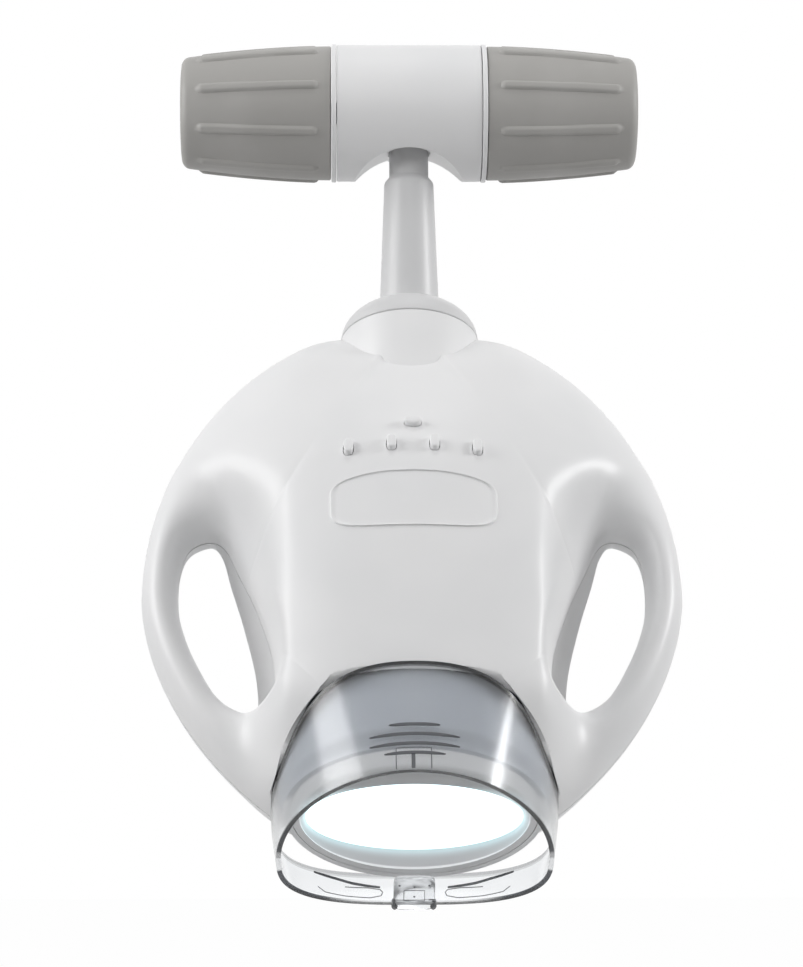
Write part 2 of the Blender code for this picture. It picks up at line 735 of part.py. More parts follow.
def make_hub():
    half = HUB_LENGTH / 2
    hub = add_piece("hub_tube", turned("hub_tube", [(HUB_RADIUS, -half), (HUB_RADIUS, half)],
                                       ROUND_COUNT), HUB_PLACE, WHITE)
    back = axes_matrix(vec(0, 0, 0), vec(1, 0, 0), vec(0, 0, 1), vec(0, -1, 0))
    boss = turned("boss", [(BOSS_RADIUS, 0), (BOSS_RADIUS, ARM_STANDOFF - HUB_BORE_RADIUS)],
                  ROUND_COUNT)
    cut(hub, add_piece("boss", boss, back), "UNION")
    bore = turned("bore", [(HUB_BORE_RADIUS, -half - OVERRUN), (HUB_BORE_RADIUS, half + OVERRUN)],
                  ROUND_COUNT)
    cut(hub, add_piece("bore", bore, HUB_PLACE))
    saddle_place = axes_matrix(HUB_AXIS - vec(0, 0, SADDLE_DROP), vec(1, 0, 0), vec(0, 0, 1),
                               vec(0, -1, 0))
    reach = HUB_RADIUS + OVERRUN
    saddle = turned("saddle", [(SADDLE_RADIUS, -reach), (SADDLE_RADIUS, reach)], ROUND_COUNT)
    cut(hub, add_piece("saddle", saddle, saddle_place))
    cut(hub, add_piece("stem_slot", slot_mesh(), Matrix.Translation(Vector(HUB_AXIS))))
    recess = turned("recess", [(BOSS_RECESS_RADIUS, -OVERRUN), (BOSS_RECESS_RADIUS, BOSS_RECESS_DEPTH)],
                    SMALL_ROUND_COUNT)
    offset = (BOSS_RADIUS + BOSS_RECESS_RADIUS) / 2
    for side in (-1, 1):
        place = axes_matrix(vec(side * offset, 0, 0), vec(1, 0, 0), vec(0, 0, 1), vec(0, -1, 0))
        cut(hub, add_piece("recess", recess.copy(), place))
    return hub


def slot_mesh():
    """Fan that the stem's spigot sweeps through the saddle as it tilts."""
    half = SPIGOT_RADIUS + 2 * GAP
    reach = HUB_RADIUS + OVERRUN
    low = math.radians(LEAN_DEG - TILT_RANGE_DEG)
    high = math.radians(LEAN_DEG + TILT_RANGE_DEG)
    corners = [(half * math.cos(low), -half * math.sin(low))]
    for step in range(5):
        angle = low + (high - low) * step / 4
        offset = half if step == 0 else (-half if step == 4 else 0)
        corners.append((-reach * math.sin(angle) + offset * math.cos(angle),
                        -reach * math.cos(angle) - offset * math.sin(angle)))
    corners.append((-half * math.cos(high), half * math.sin(high)))
    loops = [[(x, y, z) for y, z in corners] for x in (-half, half)]
    return stack_mesh("stem_slot", loops)


make_hub()


# Knobs: ribbed, tapered caps that clamp the hub through one rod

def knob_radius(distance):
    """Outer radius at a distance from the knob's inner end."""
    share = distance / KNOB_LENGTH
    return KNOB_INNER_RADIUS + (KNOB_OUTER_RADIUS - KNOB_INNER_RADIUS) * share ** KNOB_TAPER_POWER


def knob_mesh(name):
    """Cap with nine raised ribs; local Z runs out from its inner end."""
    rib_low = KNOB_RIB_INSET_INNER
    rib_high = KNOB_LENGTH - KNOB_RIB_INSET_OUTER
    ramp = KNOB_RIB_HEIGHT
    marks = [0, rib_low, rib_low + ramp]
    span = rib_high - rib_low - 2 * ramp
    marks.append(rib_low + ramp + span / 2)
    marks += [rib_high - ramp, rib_high, KNOB_LENGTH - KNOB_EDGE]
    loops = []
    for mark in marks:
        raised = rib_low < mark < rib_high
        loops.append(rib_loop(knob_radius(mark), mark, KNOB_RIB_HEIGHT if raised else 0))
    for step in (1, 2):
        angle = math.pi / 2 * step / 2
        radius = knob_radius(KNOB_LENGTH) - KNOB_EDGE * (1 - math.cos(angle))
        loops.append(rib_loop(radius, KNOB_LENGTH - KNOB_EDGE * (1 - math.sin(angle)), 0))
    inner = [(INSERT_RADIUS + GAP, KNOB_LENGTH - KNOB_WALL), (INSERT_RADIUS + GAP, ROD_END_INSET),
             (KNOB_BOSS_RADIUS, ROD_END_INSET), (KNOB_BOSS_RADIUS, KNOB_LENGTH - 2 * KNOB_WALL),
             (knob_radius(KNOB_LENGTH) - 2 * KNOB_WALL, KNOB_LENGTH - 2 * KNOB_WALL),
             (KNOB_INNER_RADIUS - KNOB_WALL, 0)]
    cavity = [rib_loop(radius, height, 0) for radius, height in inner[::-1]]
    return stack_mesh(name, loops[::-1] + cavity)


def rib_loop(radius, height, rise):
    """Loop with raised ribs; each rib takes its own share of the columns."""
    loop = []
    half = KNOB_RIB_WIDTH / 2 / radius
    pitch = 2 * math.pi / KNOB_RIB_COUNT
    stations = [(-half, 0), (-half * RIB_TOP_SHARE, 1), (half * RIB_TOP_SHARE, 1), (half, 0)]
    rest = RIB_STEPS - len(stations)
    for step in range(1, rest + 1):
        stations.append((half + (pitch - 2 * half) * step / (rest + 1), 0))
    for rib in range(KNOB_RIB_COUNT):
        for angle, lift in stations:
            turn = angle + rib * pitch + math.radians(RIB_TURN_DEG)
            reach = radius + rise * lift
            loop.append((reach * math.cos(turn), reach * math.sin(turn), height))
    return loop


def make_side(name, place):
    """End ring, knob and threaded insert of one side; local Z runs outwards."""
    ring_start = HUB_LENGTH / 2 + GAP
    ring = tube("ring", RING_RADIUS, ROD_RADIUS + 2 * GAP, ring_start, ring_start + RING_THICKNESS,
                ROUND_COUNT)
    add_piece(name + "_end_ring", ring, place, WHITE)
    start = ring_start + RING_THICKNESS + GAP
    shift = place @ Matrix.Translation(Vector((0, 0, start)))
    holder = joint_empty(name + "_knob_axis", HUB_AXIS)
    add_piece(name + "_knob", knob_mesh(name), shift, GREY, holder)
    insert = tube("insert", INSERT_RADIUS, ROD_RADIUS + GAP, ROD_END_INSET,
                  ROD_END_INSET + INSERT_LENGTH, SMALL_ROUND_COUNT)
    add_piece(name + "_knob_insert", insert, shift, BRASS, holder)
    return start


knob_start = make_side("left", LEFT_PLACE)
make_side("right", HUB_PLACE)
rod_half = knob_start + ROD_END_INSET + INSERT_LENGTH
add_piece("clamp_rod", turned("clamp_rod", [(ROD_RADIUS, -rod_half), (ROD_RADIUS, rod_half)],
                              SMALL_ROUND_COUNT), HUB_PLACE, STEEL)


# Stem: hinge barrel, spigot, collar and tapered tube in one moulding

def make_stem():
    dome_reach = DOME_HEIGHT * math.cos(HEAD_LEAN - STEM_LEAN)
    foot = STEM_LENGTH - dome_reach + STEM_FOOT_ENGAGEMENT
    collar = SPIGOT_LENGTH + COLLAR_CHAMFER
    profile = [(SPIGOT_RADIUS, 0), (SPIGOT_RADIUS, SPIGOT_LENGTH), (COLLAR_RADIUS, collar),
               (STEM_FOOT_RADIUS, foot)]
    stem = add_piece("stem", turned("stem", profile, ROUND_COUNT), STEM_PLACE, WHITE, TILT)
    half = BARREL_LENGTH / 2
    radius = HUB_BORE_RADIUS - GAP
    barrel = turned("barrel", [(radius, -half), (radius, half)], ROUND_COUNT)
    cut(stem, add_piece("barrel", barrel, HUB_PLACE), "UNION")
    hole = ROD_RADIUS + GAP
    bore = turned("bore", [(hole, -half - OVERRUN), (hole, half + OVERRUN)], SMALL_ROUND_COUNT)
    cut(stem, add_piece("bore", bore, HUB_PLACE))
    gap_start = half + GAP
    for name, place in (("left", LEFT_PLACE), ("right", HUB_PLACE)):
        disc = tube("disc", HUB_BORE_RADIUS - 2 * GAP, hole, gap_start,
                    gap_start + FRICTION_DISC_THICKNESS, SMALL_ROUND_COUNT)
        add_piece(name + "_friction_disc", disc, place, FRICTION)
        start = gap_start + FRICTION_DISC_THICKNESS + GAP
        sleeve = tube("sleeve", HUB_BORE_RADIUS - GAP, hole, start, HUB_LENGTH / 2,
                      SLEEVE_COUNT)
        add_piece(name + "_pressure_sleeve", sleeve, place, STEEL)
    return foot


stem_foot = make_stem()


# Dome cap and swivel spindle turn with the stem; the neck turns with the head

def dome_profile(radius, height, start):
    """Quarter oval from the rim to the top; heights run back up the neck."""
    profile = []
    for step in range(DOME_STEPS + 1):
        angle = math.pi / 2 * step / DOME_STEPS
        reach = max(radius * math.cos(angle), FINE_EDGE)
        profile.append((reach, start - height * math.sin(angle)))
    return profile


def make_dome():
    outer = dome_profile(NECK_RADIUS, DOME_HEIGHT, -GAP / 2)
    inner = dome_profile(NECK_RADIUS - DOME_WALL, DOME_HEIGHT - DOME_WALL, -GAP / 2)
    dome = add_piece("dome_cap", turned("dome_cap", outer + inner[::-1], ROUND_COUNT,
                                              closed=True),
                     NECK_PLACE, WHITE, TILT)
    radius = STEM_FOOT_RADIUS + GAP
    socket = turned("socket", [(radius, SPIGOT_LENGTH), (radius, stem_foot + OVERRUN)], ROUND_COUNT)
    cut(dome, add_piece("socket", socket, STEM_PLACE))


def make_swivel():
    floor_top = NECK_FLOOR_DEPTH
    floor_low = floor_top + NECK_FLOOR_THICKNESS
    hole = SPINDLE_RADIUS + GAP
    inside = NECK_RADIUS - NECK_WALL
    profile = [(NECK_RADIUS, GAP / 2), (NECK_RADIUS, NECK_LENGTH), (inside, NECK_LENGTH),
               (inside, floor_low), (hole, floor_low), (hole, floor_top), (inside, floor_top),
               (inside, GAP / 2)]
    add_piece("swivel_neck", turned("swivel_neck", profile, ROUND_COUNT, closed=True),
              NECK_PLACE, WHITE, SWIVEL)
    flange_low = floor_top - GAP
    flange_top = flange_low - SPINDLE_FLANGE_THICKNESS
    thread_end = floor_low + SPINDLE_THREAD_LENGTH
    profile = [(SPINDLE_FLANGE_RADIUS, flange_top), (SPINDLE_FLANGE_RADIUS, flange_low),
               (SPINDLE_RADIUS, flange_low), (SPINDLE_RADIUS, thread_end)]
    spindle = add_piece("swivel_spindle", turned("swivel_spindle", profile, SMALL_ROUND_COUNT),
                        NECK_PLACE, STEEL, TILT)
    top = stem_foot + GAP
    lug = turned("lug", [(STEM_FOOT_RADIUS - DOME_WALL, top),
                         (STEM_FOOT_RADIUS - DOME_WALL, STEM_LENGTH + flange_top + FINE_EDGE)],
                 SMALL_ROUND_COUNT)
    cut(spindle, add_piece("lug", lug, STEM_PLACE), "UNION")
    start = floor_low + GAP
    washer = tube("washer", WASHER_RADIUS, hole, start, start + WASHER_THICKNESS, SMALL_ROUND_COUNT)
    add_piece("swivel_washer", washer, NECK_PLACE, STEEL, TILT)
    start += WASHER_THICKNESS + GAP
    nut = stack_mesh("nut", [nut_loop(SWIVEL_NUT_RADIUS, start),
                             nut_loop(SWIVEL_NUT_RADIUS, start + SWIVEL_NUT_THICKNESS)])
    nut_piece = add_piece("swivel_nut", nut, NECK_PLACE, STEEL, TILT)
    bore = turned("bore", [(hole, 0), (hole, start + SWIVEL_NUT_THICKNESS + OVERRUN)],
                  SMALL_ROUND_COUNT)
    cut(nut_piece, add_piece("bore", bore, NECK_PLACE))


def nut_loop(radius, height):
    """Six corners of a hexagon nut."""
    corners = []
    for index in range(6):
        angle = math.pi / 3 * index
        corners.append((radius * math.cos(angle), radius * math.sin(angle), height))
    return corners


make_dome()
make_swivel()


# Light outlet sections: k runs out along the light's axis, 0 at the bezel's face

def guide_loop(k, inset=0.0):
    """Section of the clear guide: it narrows towards its lip."""
    flare = GUIDE_LIP - k
    return dee_loop(GUIDE_HALF_WIDTH + flare * GUIDE_FLARE_SHARE - inset,
                    GUIDE_TOP + flare * GUIDE_TOP_FLARE_SHARE - inset, GUIDE_BOTTOM - inset,
                    GUIDE_CENTRE_DROP, k, OVAL_COUNT, GUIDE_TOP_POWER, GUIDE_LOW_POWER)


def oval_block(name, half_x, half_y, drop, start, end):
    """Solid oval between two places on the light's axis."""
    return stack_mesh(name, [[(x, y - drop, k) for x, y, k in
                              oval_loop(half_x, half_y, place, OVAL_COUNT)]
                             for place in (start, end)])


def guide_back(height):
    """Where the clear guide ends behind, at a height over the light's axis."""
    heights = [share * GUIDE_TOP for share, _ in GUIDE_BACK_SHARES]
    depths = [share * GUIDE_BACK for _, share in GUIDE_BACK_SHARES]
    return -float(np.interp(height, heights, depths))


def sloped_loop(inset):
    """Loop of the guide's section along its sloped back edge."""
    backs = [guide_back(y) for _, y, _ in guide_loop(0)]
    return [guide_loop(k, inset)[index] for index, k in enumerate(backs)]


def guide_mesh(name):
    """Clear sleeve: tapered towards its lip, its back cut to the arch of the head."""
    skins = []
    for inset in (0.0, GUIDE_WALL):
        first = sloped_loop(inset)
        last = guide_loop(GUIDE_LIP, inset)
        skins.append([[tuple(a + (b - a) * step / GUIDE_STEPS for a, b in zip(one, two))
                       for one, two in zip(first, last)] for step in range(GUIDE_STEPS + 1)])
    return stack_mesh(name, skins[0] + skins[1][::-1], closed=True)


def guide_cutter(name):
    """Room for the guide in the two shells: its own taper, kept to its sloped back edge."""
    grow = GUIDE_CLEARANCE
    far = GUIDE_LIP + GUIDE_TRAVEL
    lip = guide_loop(GUIDE_LIP, -grow)
    loops = [guide_loop(-GUIDE_BACK - OVERRUN, -grow), lip, [(x, y, far) for x, y, _ in lip]]
    cutter = add_piece(name, stack_mesh(name, loops), OUTLET_PLACE)
    high = GUIDE_TOP + 2 * OVERRUN
    ring = guide_loop(-GUIDE_BACK / 2)
    quarter = OVAL_COUNT // 4
    heights = [-high] + [y for _, y, _ in ring[-quarter:] + ring[:quarter + 1]] + [high]
    corners = [(y, guide_back(y) - grow) for y in heights]
    corners += [(high, far + OVERRUN), (-high, far + OVERRUN)]
    reach = GUIDE_HALF_WIDTH + 3 * OVERRUN
    keep = stack_mesh("keep", [[(x, y, k) for y, k in corners] for x in (-reach, reach)])
    cut(cutter, add_piece("keep", keep, OUTLET_PLACE), "INTERSECT")
    return cutter


def nose_loop(k, inset=0.0, slope=0.0):
    """Section of the nose: it tucks in behind, and its face leans back at the top."""
    half_x = GUIDE_HALF_WIDTH - GUIDE_WALL - NOSE_SIDE_GAP - inset
    top = GUIDE_TOP - GUIDE_WALL - NOSE_TOP_GAP - inset
    foot = GUIDE_BOTTOM - GUIDE_WALL - NOSE_LOW_GAP
    low = foot - inset - max(-k - NOSE_TUCK_START, 0) * NOSE_TUCK_SHARE
    return [(x, y, k - slope * (y + foot)) for x, y, _ in
            dee_loop(half_x, top, low, NOSE_CENTRE_DROP, k, OVAL_COUNT)]


def lens_loop(k, grow=0.0):
    """Section of the lens, set low in the bezel."""
    half_x = GUIDE_HALF_WIDTH - GUIDE_WALL - NOSE_SIDE_GAP - BEZEL_WIDTH
    return [(x, y - lens_drop(), k) for x, y, _ in
            oval_loop(half_x + grow, LENS_HALF_HEIGHT + grow, k, OVAL_COUNT)]


def lens_drop():
    """How far the lens sits under the light's axis."""
    return GUIDE_BOTTOM - GUIDE_WALL - NOSE_LOW_GAP - BEZEL_FOOT - LENS_HALF_HEIGHT


def outlet_cutter(name):
    """Room for the guide and for the nose where the shells close round it, in one."""
    room = guide_cutter(name)
    loops = [nose_loop(-NOSE_LENGTH - GAP, -GAP), nose_loop(-NOSE_TUCK_START, -GAP),
             nose_loop(OVERRUN, -GAP)]
    cut(room, add_piece("nose_room", stack_mesh("nose_room", loops), OUTLET_PLACE), "UNION")
    return room


def neck_cutter(name):
    radius = NECK_RADIUS + GAP
    mesh = turned(name, [(radius, -NECK_LENGTH), (radius, NECK_LENGTH)], ROUND_COUNT)
    return add_piece(name, mesh, NECK_PLACE)


# Control panel: the buttons, their board and the bare plate

BUTTON_TILT = math.radians(BUTTON_TILT_DEG)
PRESS_DIR = W_DIR * math.cos(BUTTON_TILT) - V_DIR * math.sin(BUTTON_TILT)
PANEL_UP = -V_DIR * math.cos(BUTTON_TILT) - W_DIR * math.sin(BUTTON_TILT)


FRONT_FACE, FACE_SIDE_COUNT = shell_face(1, front_height)


def face_tree(face):
    """Search tree over one half of a shell's outer face."""
    rows, count, _ = face.shape
    quads = []
    for j in range(rows - 1):
        for i in range(count):
            k = (i + 1) % count
            quads.append((j * count + i, j * count + k, (j + 1) * count + k, (j + 1) * count + i))
    return BVHTree.FromPolygons([tuple(point) for point in face.reshape(-1, 3)], quads)


FRONT_TREE = face_tree(FRONT_FACE)


def surface_height(u, v):
    """Height of the front shell's own mesh over one place of the head."""
    spot = FRONT_TREE.ray_cast(Vector((max(abs(u), FINE_EDGE), v, 2 * FRONT_HEIGHT)),
                               Vector((0, 0, -1)))[0]
    return spot.z


def panel_place(u, v):
    """Placing matrix on the front face, its Z pointing the way a button stands out."""
    point = SEAM_POINT + u * U_DIR + v * V_DIR + surface_height(abs(u), v) * W_DIR
    return axes_matrix(point, U_DIR, PANEL_UP, PRESS_DIR)


def make_buttons(front):
    """Five domed push buttons, each on its own joint, with a flange behind the panel."""
    places = [("power_button", 0, POWER_BUTTON_DOWN, POWER_HALF_WIDTH, POWER_HALF_LENGTH,
               POWER_BUTTON_POWER)]
    for index in range(4):
        u = (index - 1.5) * BUTTON_PITCH
        sag = BUTTON_ROW_SAG if index in (0, 3) else 0
        places.append((f"mode_button_{index + 1}", u, BUTTON_ROW_DOWN + sag, BUTTON_HALF_WIDTH,
                       BUTTON_HALF_LENGTH, BUTTON_POWER))
    for name, u, v, half_x, half_y, power in places:
        place = panel_place(u, v)
        foot = board_top(u, v) + SWITCH_HEIGHT + BUTTON_TRAVEL + 2 * GAP
        rows = [(BUTTON_FLANGE, foot),
                (BUTTON_FLANGE, -BUTTON_FLANGE_DEPTH - BUTTON_FLANGE),
                (0, -BUTTON_FLANGE_DEPTH - BUTTON_FLANGE), (0, BUTTON_PROUD - BUTTON_ROUND),
                (-BUTTON_ROUND / 2, BUTTON_PROUD - BUTTON_ROUND / 4),
                (-BUTTON_ROUND, BUTTON_PROUD)]
        loops = [oval_loop(half_x + grow, half_y + grow, height, SMALL_ROUND_COUNT, power)
                 for grow, height in rows]
        holder = joint_empty(name + "_axis", place.translation, SWIVEL)
        add_piece(name, stack_mesh(name, loops), place, WHITE, holder)
        room = [oval_loop(half_x + GAP, half_y + GAP, height, SMALL_ROUND_COUNT, power)
                for height in (-BUTTON_FLANGE_DEPTH - BUTTON_FLANGE, BUTTON_PROUD + OVERRUN)]
        cut(front, add_piece(name + "_hole", stack_mesh("hole", room), place))
        pocket = [oval_loop(half_x + BUTTON_FLANGE + GAP, half_y + BUTTON_FLANGE + GAP, height,
                            SMALL_ROUND_COUNT, power)
                  for height in (foot - OVERRUN, -BUTTON_FLANGE_DEPTH - BUTTON_FLANGE + GAP)]
        cut(front, add_piece(name + "_pocket", stack_mesh("pocket", pocket), place))
        add_switch(name, u, v, half_x, half_y)


def add_switch(name, u, v, half_x, half_y):
    """Tact switch under one button, seated on the control board."""
    low = board_top(u, v) + GAP
    mesh = box_mesh(name, (-half_x, half_x), (-half_y, half_y), (low, low + SWITCH_HEIGHT))
    add_piece(name + "_switch", mesh, panel_place(u, v), BLACK, SWIVEL)


def board_top(u, v):
    """Depth of the control board's face under one place of the panel."""
    here = panel_place(u, v).translation
    middle = panel_place(0, CONTROL_BOARD_DOWN).translation
    offset = (middle - here).dot(Vector(PRESS_DIR))
    return offset - CONTROL_BOARD_DEPTH


def make_control_board(front):
    place = panel_place(0, CONTROL_BOARD_DOWN)
    half_x = CONTROL_BOARD_WIDTH / 2
    half_y = CONTROL_BOARD_HEIGHT / 2
    top = -CONTROL_BOARD_DEPTH
    mesh = box_mesh("control_board", (-half_x, half_x), (-half_y, half_y),
                    (top - BOARD_THICKNESS, top))
    add_piece("control_board", mesh, place, BOARD_GREEN, SWIVEL)
    for side in (-1, 1):
        for level in (-1, 1):
            x = side * (half_x - BOARD_POST_RADIUS)
            y = level * (half_y - BOARD_POST_RADIUS)
            post = [(BOARD_POST_RADIUS, top + GAP), (BOARD_POST_RADIUS, -SHELL_WALL * POST_SHARE
                                                     - board_sink(x, y))]
            mesh = turned("post", post, SMALL_ROUND_COUNT)
            cut(front, add_piece("post", mesh, place @ Matrix.Translation(Vector((x, y, 0)))),
                "UNION")


def board_sink(x, y):
    """How far the front face lies under the board middle's own panel plane at x, y."""
    place = panel_place(0, CONTROL_BOARD_DOWN)
    v = CONTROL_BOARD_DOWN - y * math.cos(BUTTON_TILT)
    spot = panel_place(x, v).translation
    return -(place.inverted() @ spot).z


def make_plate(front):
    """Bare name plate let into a shallow recess, following the panel's curve."""
    low = -PLATE_THICKNESS + PLATE_STEP
    room = plate_mesh("plate_room", GAP, low - GAP, OVERRUN)
    cut(front, add_piece("plate_room", room, HEAD_PLACE))
    add_piece("name_plate", plate_mesh("name_plate", 0, low, PLATE_STEP), HEAD_PLACE, WHITE, SWIVEL)


def plate_mesh(name, grow, low, high):
    """Plate between two lifts over the panel; rings keep both faces on its curve."""
    loops = [plate_loop(grow, low, share) for share in PLATE_RING_SHARES]
    loops += [plate_loop(grow, high, share) for share in PLATE_RING_SHARES[::-1]]
    return stack_mesh(name, loops)


def plate_loop(grow, lift, share):
    """Outline of the plate laid on the panel: arched top, straight foot, bowed sides."""
    loop = []
    for x, y, _ in oval_loop(PLATE_HALF_WIDTH + grow, PLATE_HALF_HEIGHT + grow, 0, PLATE_COUNT,
                             PLATE_POWER):
        x, y = x * share, y * share
        drop = PLATE_ARCH * (x / PLATE_HALF_WIDTH) ** 2 * share if y > 0 else 0
        v = PLATE_DOWN - y + drop
        loop.append((x, -v, surface_height(abs(x), v) + lift))
    return loop


# Shells: moulded halves, cut for the neck, the guide, the buttons and the vents

def make_shells():
    front = add_piece("front_shell", shell_mesh("front_shell", 1, FRONT_FACE, FACE_SIDE_COUNT),
                      HEAD_PLACE, WHITE, SWIVEL, SHELL_SMOOTH_DEG)
    back_face, side_count = shell_face(-1, back_height, HOLE_FLARE, HOLE_FLARE_DEPTH)
    rear = add_piece("rear_shell", shell_mesh("rear_shell", -1, back_face, side_count),
                     HEAD_PLACE, WHITE, SWIVEL, SHELL_SMOOTH_DEG)
    make_control_board(front)
    make_buttons(front)
    make_plate(front)
    for shell in (front, rear):
        cut(shell, neck_cutter("neck_room"))
        cut(shell, outlet_cutter("outlet_room"))
    for index in range(VENT_COUNT):
        v = VENT_DOWN + (index - (VENT_COUNT - 1) / 2) * VENT_PITCH
        slot = box_mesh("vent", (-VENT_HALF_LENGTH, VENT_HALF_LENGTH),
                        (-v - VENT_WIDTH / 2, -v + VENT_WIDTH / 2),
                        (-BACK_DEPTH - OVERRUN, -BACK_DEPTH + 2 * SHELL_WALL))
        cut(rear, add_piece("vent", slot, HEAD_PLACE))


make_shells()


# Light outlet: clear guide, nose, bezel, lens, reflector and the lamp engine

def make_outlet():
    holder = joint_empty("guide_axis", OUTLET_PLACE.translation, SWIVEL)
    guide = add_piece("light_guide", guide_mesh("light_guide"), OUTLET_PLACE, CLEAR, holder)
    tab = box_mesh("tab", (-TAB_HALF_WIDTH, TAB_HALF_WIDTH),
                   (-GUIDE_BOTTOM - TAB_DROP, -GUIDE_BOTTOM + TAB_RISE),
                   (GUIDE_LIP - TAB_THICKNESS, GUIDE_LIP - GAP))
    cut(guide, add_piece("tab", tab, OUTLET_PLACE), "UNION")
    back = -LENS_RECESS - LENS_THICKNESS
    pairs = [(-NOSE_LENGTH, 0.0), (-NOSE_TUCK_START, 0.0), (0.0, BEZEL_SLOPE_SHARE)]
    outer = [nose_loop(k, 0.0, slope) for k, slope in pairs]
    inner = [nose_loop(k, NOSE_WALL, slope) for k, slope in pairs]
    add_piece("nose_barrel", stack_mesh("nose_barrel", outer + inner[::-1], closed=True),
              OUTLET_PLACE, SILVER, SWIVEL)
    fit = NOSE_WALL + GAP
    throat = lens_loop(-LENS_RECESS + GAP, GAP)
    mouth = nose_loop(0, fit + BEZEL_LAND, BEZEL_SLOPE_SHARE)
    loops = [nose_loop(0, fit, BEZEL_SLOPE_SHARE), nose_loop(back, fit), lens_loop(back, GAP)]
    for step in range(BEZEL_STEPS + 1):
        share = step / BEZEL_STEPS
        lift = math.sin(math.pi / 2 * share)
        loops.append([(a[0] + (b[0] - a[0]) * share, a[1] + (b[1] - a[1]) * share,
                       a[2] + (b[2] - a[2]) * lift) for a, b in zip(throat, mouth)])
    add_piece("bezel", stack_mesh("bezel", loops, closed=True), OUTLET_PLACE, SILVER, SWIVEL)
    add_piece("lens", stack_mesh("lens", [lens_loop(back), lens_loop(-LENS_RECESS)]),
              OUTLET_PLACE, FROST, SWIVEL)
    reflector_end = -NOSE_LENGTH + SINK_BASE + BOARD_THICKNESS + 2 * GAP
    loops = []
    for inset in (0.0, REFLECTOR_WALL):
        pair = [[(x, y - LAMP_DROP, k) for x, y, k in
                 oval_loop(REFLECTOR_BACK_HALF_WIDTH - inset, REFLECTOR_BACK_HALF_HEIGHT - inset,
                           reflector_end, OVAL_COUNT)],
                lens_loop(back - GAP, -inset)]
        loops += pair if inset else pair[::-1]
    add_piece("reflector", stack_mesh("reflector", loops, closed=True), OUTLET_PLACE, ALUMINIUM,
              SWIVEL)
    board_low = -NOSE_LENGTH + SINK_BASE + GAP
    add_piece("led_board", oval_block("led_board", LED_BOARD_HALF_WIDTH, LED_BOARD_HALF_HEIGHT,
                                      LAMP_DROP, board_low, board_low + BOARD_THICKNESS),
              OUTLET_PLACE, BOARD_GREEN, SWIVEL)
    make_sink(fit)


def make_sink(fit):
    """Heat sink: an oval base that closes the nose, with upright fins behind it."""
    loops = [nose_loop(place, fit) for place in (-NOSE_LENGTH, -NOSE_LENGTH + SINK_BASE)]
    sink = add_piece("heat_sink", stack_mesh("heat_sink", loops), OUTLET_PLACE, ALUMINIUM, SWIVEL)
    fin_end = -NOSE_LENGTH - SINK_FIN_LENGTH
    for index in range(SINK_FIN_COUNT):
        x = (index / (SINK_FIN_COUNT - 1) * 2 - 1) * (SINK_HALF_WIDTH - SINK_FIN_THICKNESS)
        fin = box_mesh("fin", (x - SINK_FIN_THICKNESS / 2, x + SINK_FIN_THICKNESS / 2),
                       (-SINK_HALF_HEIGHT, SINK_HALF_HEIGHT), (fin_end, -NOSE_LENGTH + SINK_BASE / 2))
        cut(sink, add_piece("fin", fin, OUTLET_PLACE), "UNION")
    make_fan(fin_end - GAP)


def make_fan(front):
    """Square fan on the fins: a frame with a hub on one strut pair, and its rotor."""
    back = front - FAN_DEPTH
    half = FAN_SIZE / 2
    frame = add_piece("fan_frame", box_mesh("fan_frame", (-half, half), (-half, half), (back, front)),
                      OUTLET_PLACE, BLACK, SWIVEL)
    inside = half - FAN_WALL
    hole = turned("hole", [(inside, back + FAN_WALL), (inside, front + OVERRUN)], ROUND_COUNT)
    cut(frame, add_piece("hole", hole, OUTLET_PLACE))
    strut = half - 2 * FAN_WALL
    for turn in range(4):
        place = OUTLET_PLACE @ Matrix.Rotation(math.pi / 2 * turn, 4, "Z")
        window = box_mesh("window", (FAN_WALL, strut / 2 + FAN_WALL), (FAN_WALL, strut / 2 + FAN_WALL),
                          (back - OVERRUN, back + FAN_WALL + OVERRUN))
        cut(frame, add_piece("window", window, place))
    pin_top = front - FAN_WALL
    pin = turned("pin", [(FAN_WALL, back + FAN_WALL / 2), (FAN_WALL, pin_top)], SMALL_ROUND_COUNT)
    cut(frame, add_piece("pin", pin, OUTLET_PLACE), "UNION")
    rotor_low = back + FAN_WALL + GAP
    rotor_high = front - FAN_WALL + GAP
    holder = joint_empty("fan_axis", OUTLET_PLACE.translation, SWIVEL)
    rotor = add_piece("fan_rotor", turned("fan_rotor", [(FAN_HUB_RADIUS, rotor_low),
                                                        (FAN_HUB_RADIUS, rotor_high)],
                                          ROUND_COUNT), OUTLET_PLACE, BLACK, holder)
    middle = (rotor_low + rotor_high) / 2
    for index in range(FAN_BLADE_COUNT):
        turn = Matrix.Rotation(2 * math.pi * index / FAN_BLADE_COUNT, 4, "Z")
        pitch = Matrix.Rotation(math.radians(FAN_PITCH_DEG), 4, "X")
        blade = box_mesh("blade", (FAN_HUB_RADIUS / 2, inside - 2 * FAN_BLADE_THICKNESS),
                         (-FAN_BLADE_HALF, FAN_BLADE_HALF),
                         (-FAN_BLADE_THICKNESS / 2, FAN_BLADE_THICKNESS / 2))
        place = OUTLET_PLACE @ turn @ Matrix.Translation(Vector((0, 0, middle))) @ pitch
        cut(rotor, add_piece("blade", blade, place), "UNION")
    bore = turned("bore", [(FAN_WALL + GAP, rotor_low - OVERRUN), (FAN_WALL + GAP, pin_top + GAP)],
                  SMALL_ROUND_COUNT)
    cut(rotor, add_piece("bore", bore, OUTLET_PLACE))


make_outlet()
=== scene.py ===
"""Dental curing light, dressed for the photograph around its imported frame.

Metres, +Z up, front towards -Y. Sections follow the lamp as it is put together, from
the hub that the room arm carries down to the clear light guide; the studio comes last.
"""

import math

import bmesh
import bpy
import numpy as np
from mathutils import Matrix, Vector


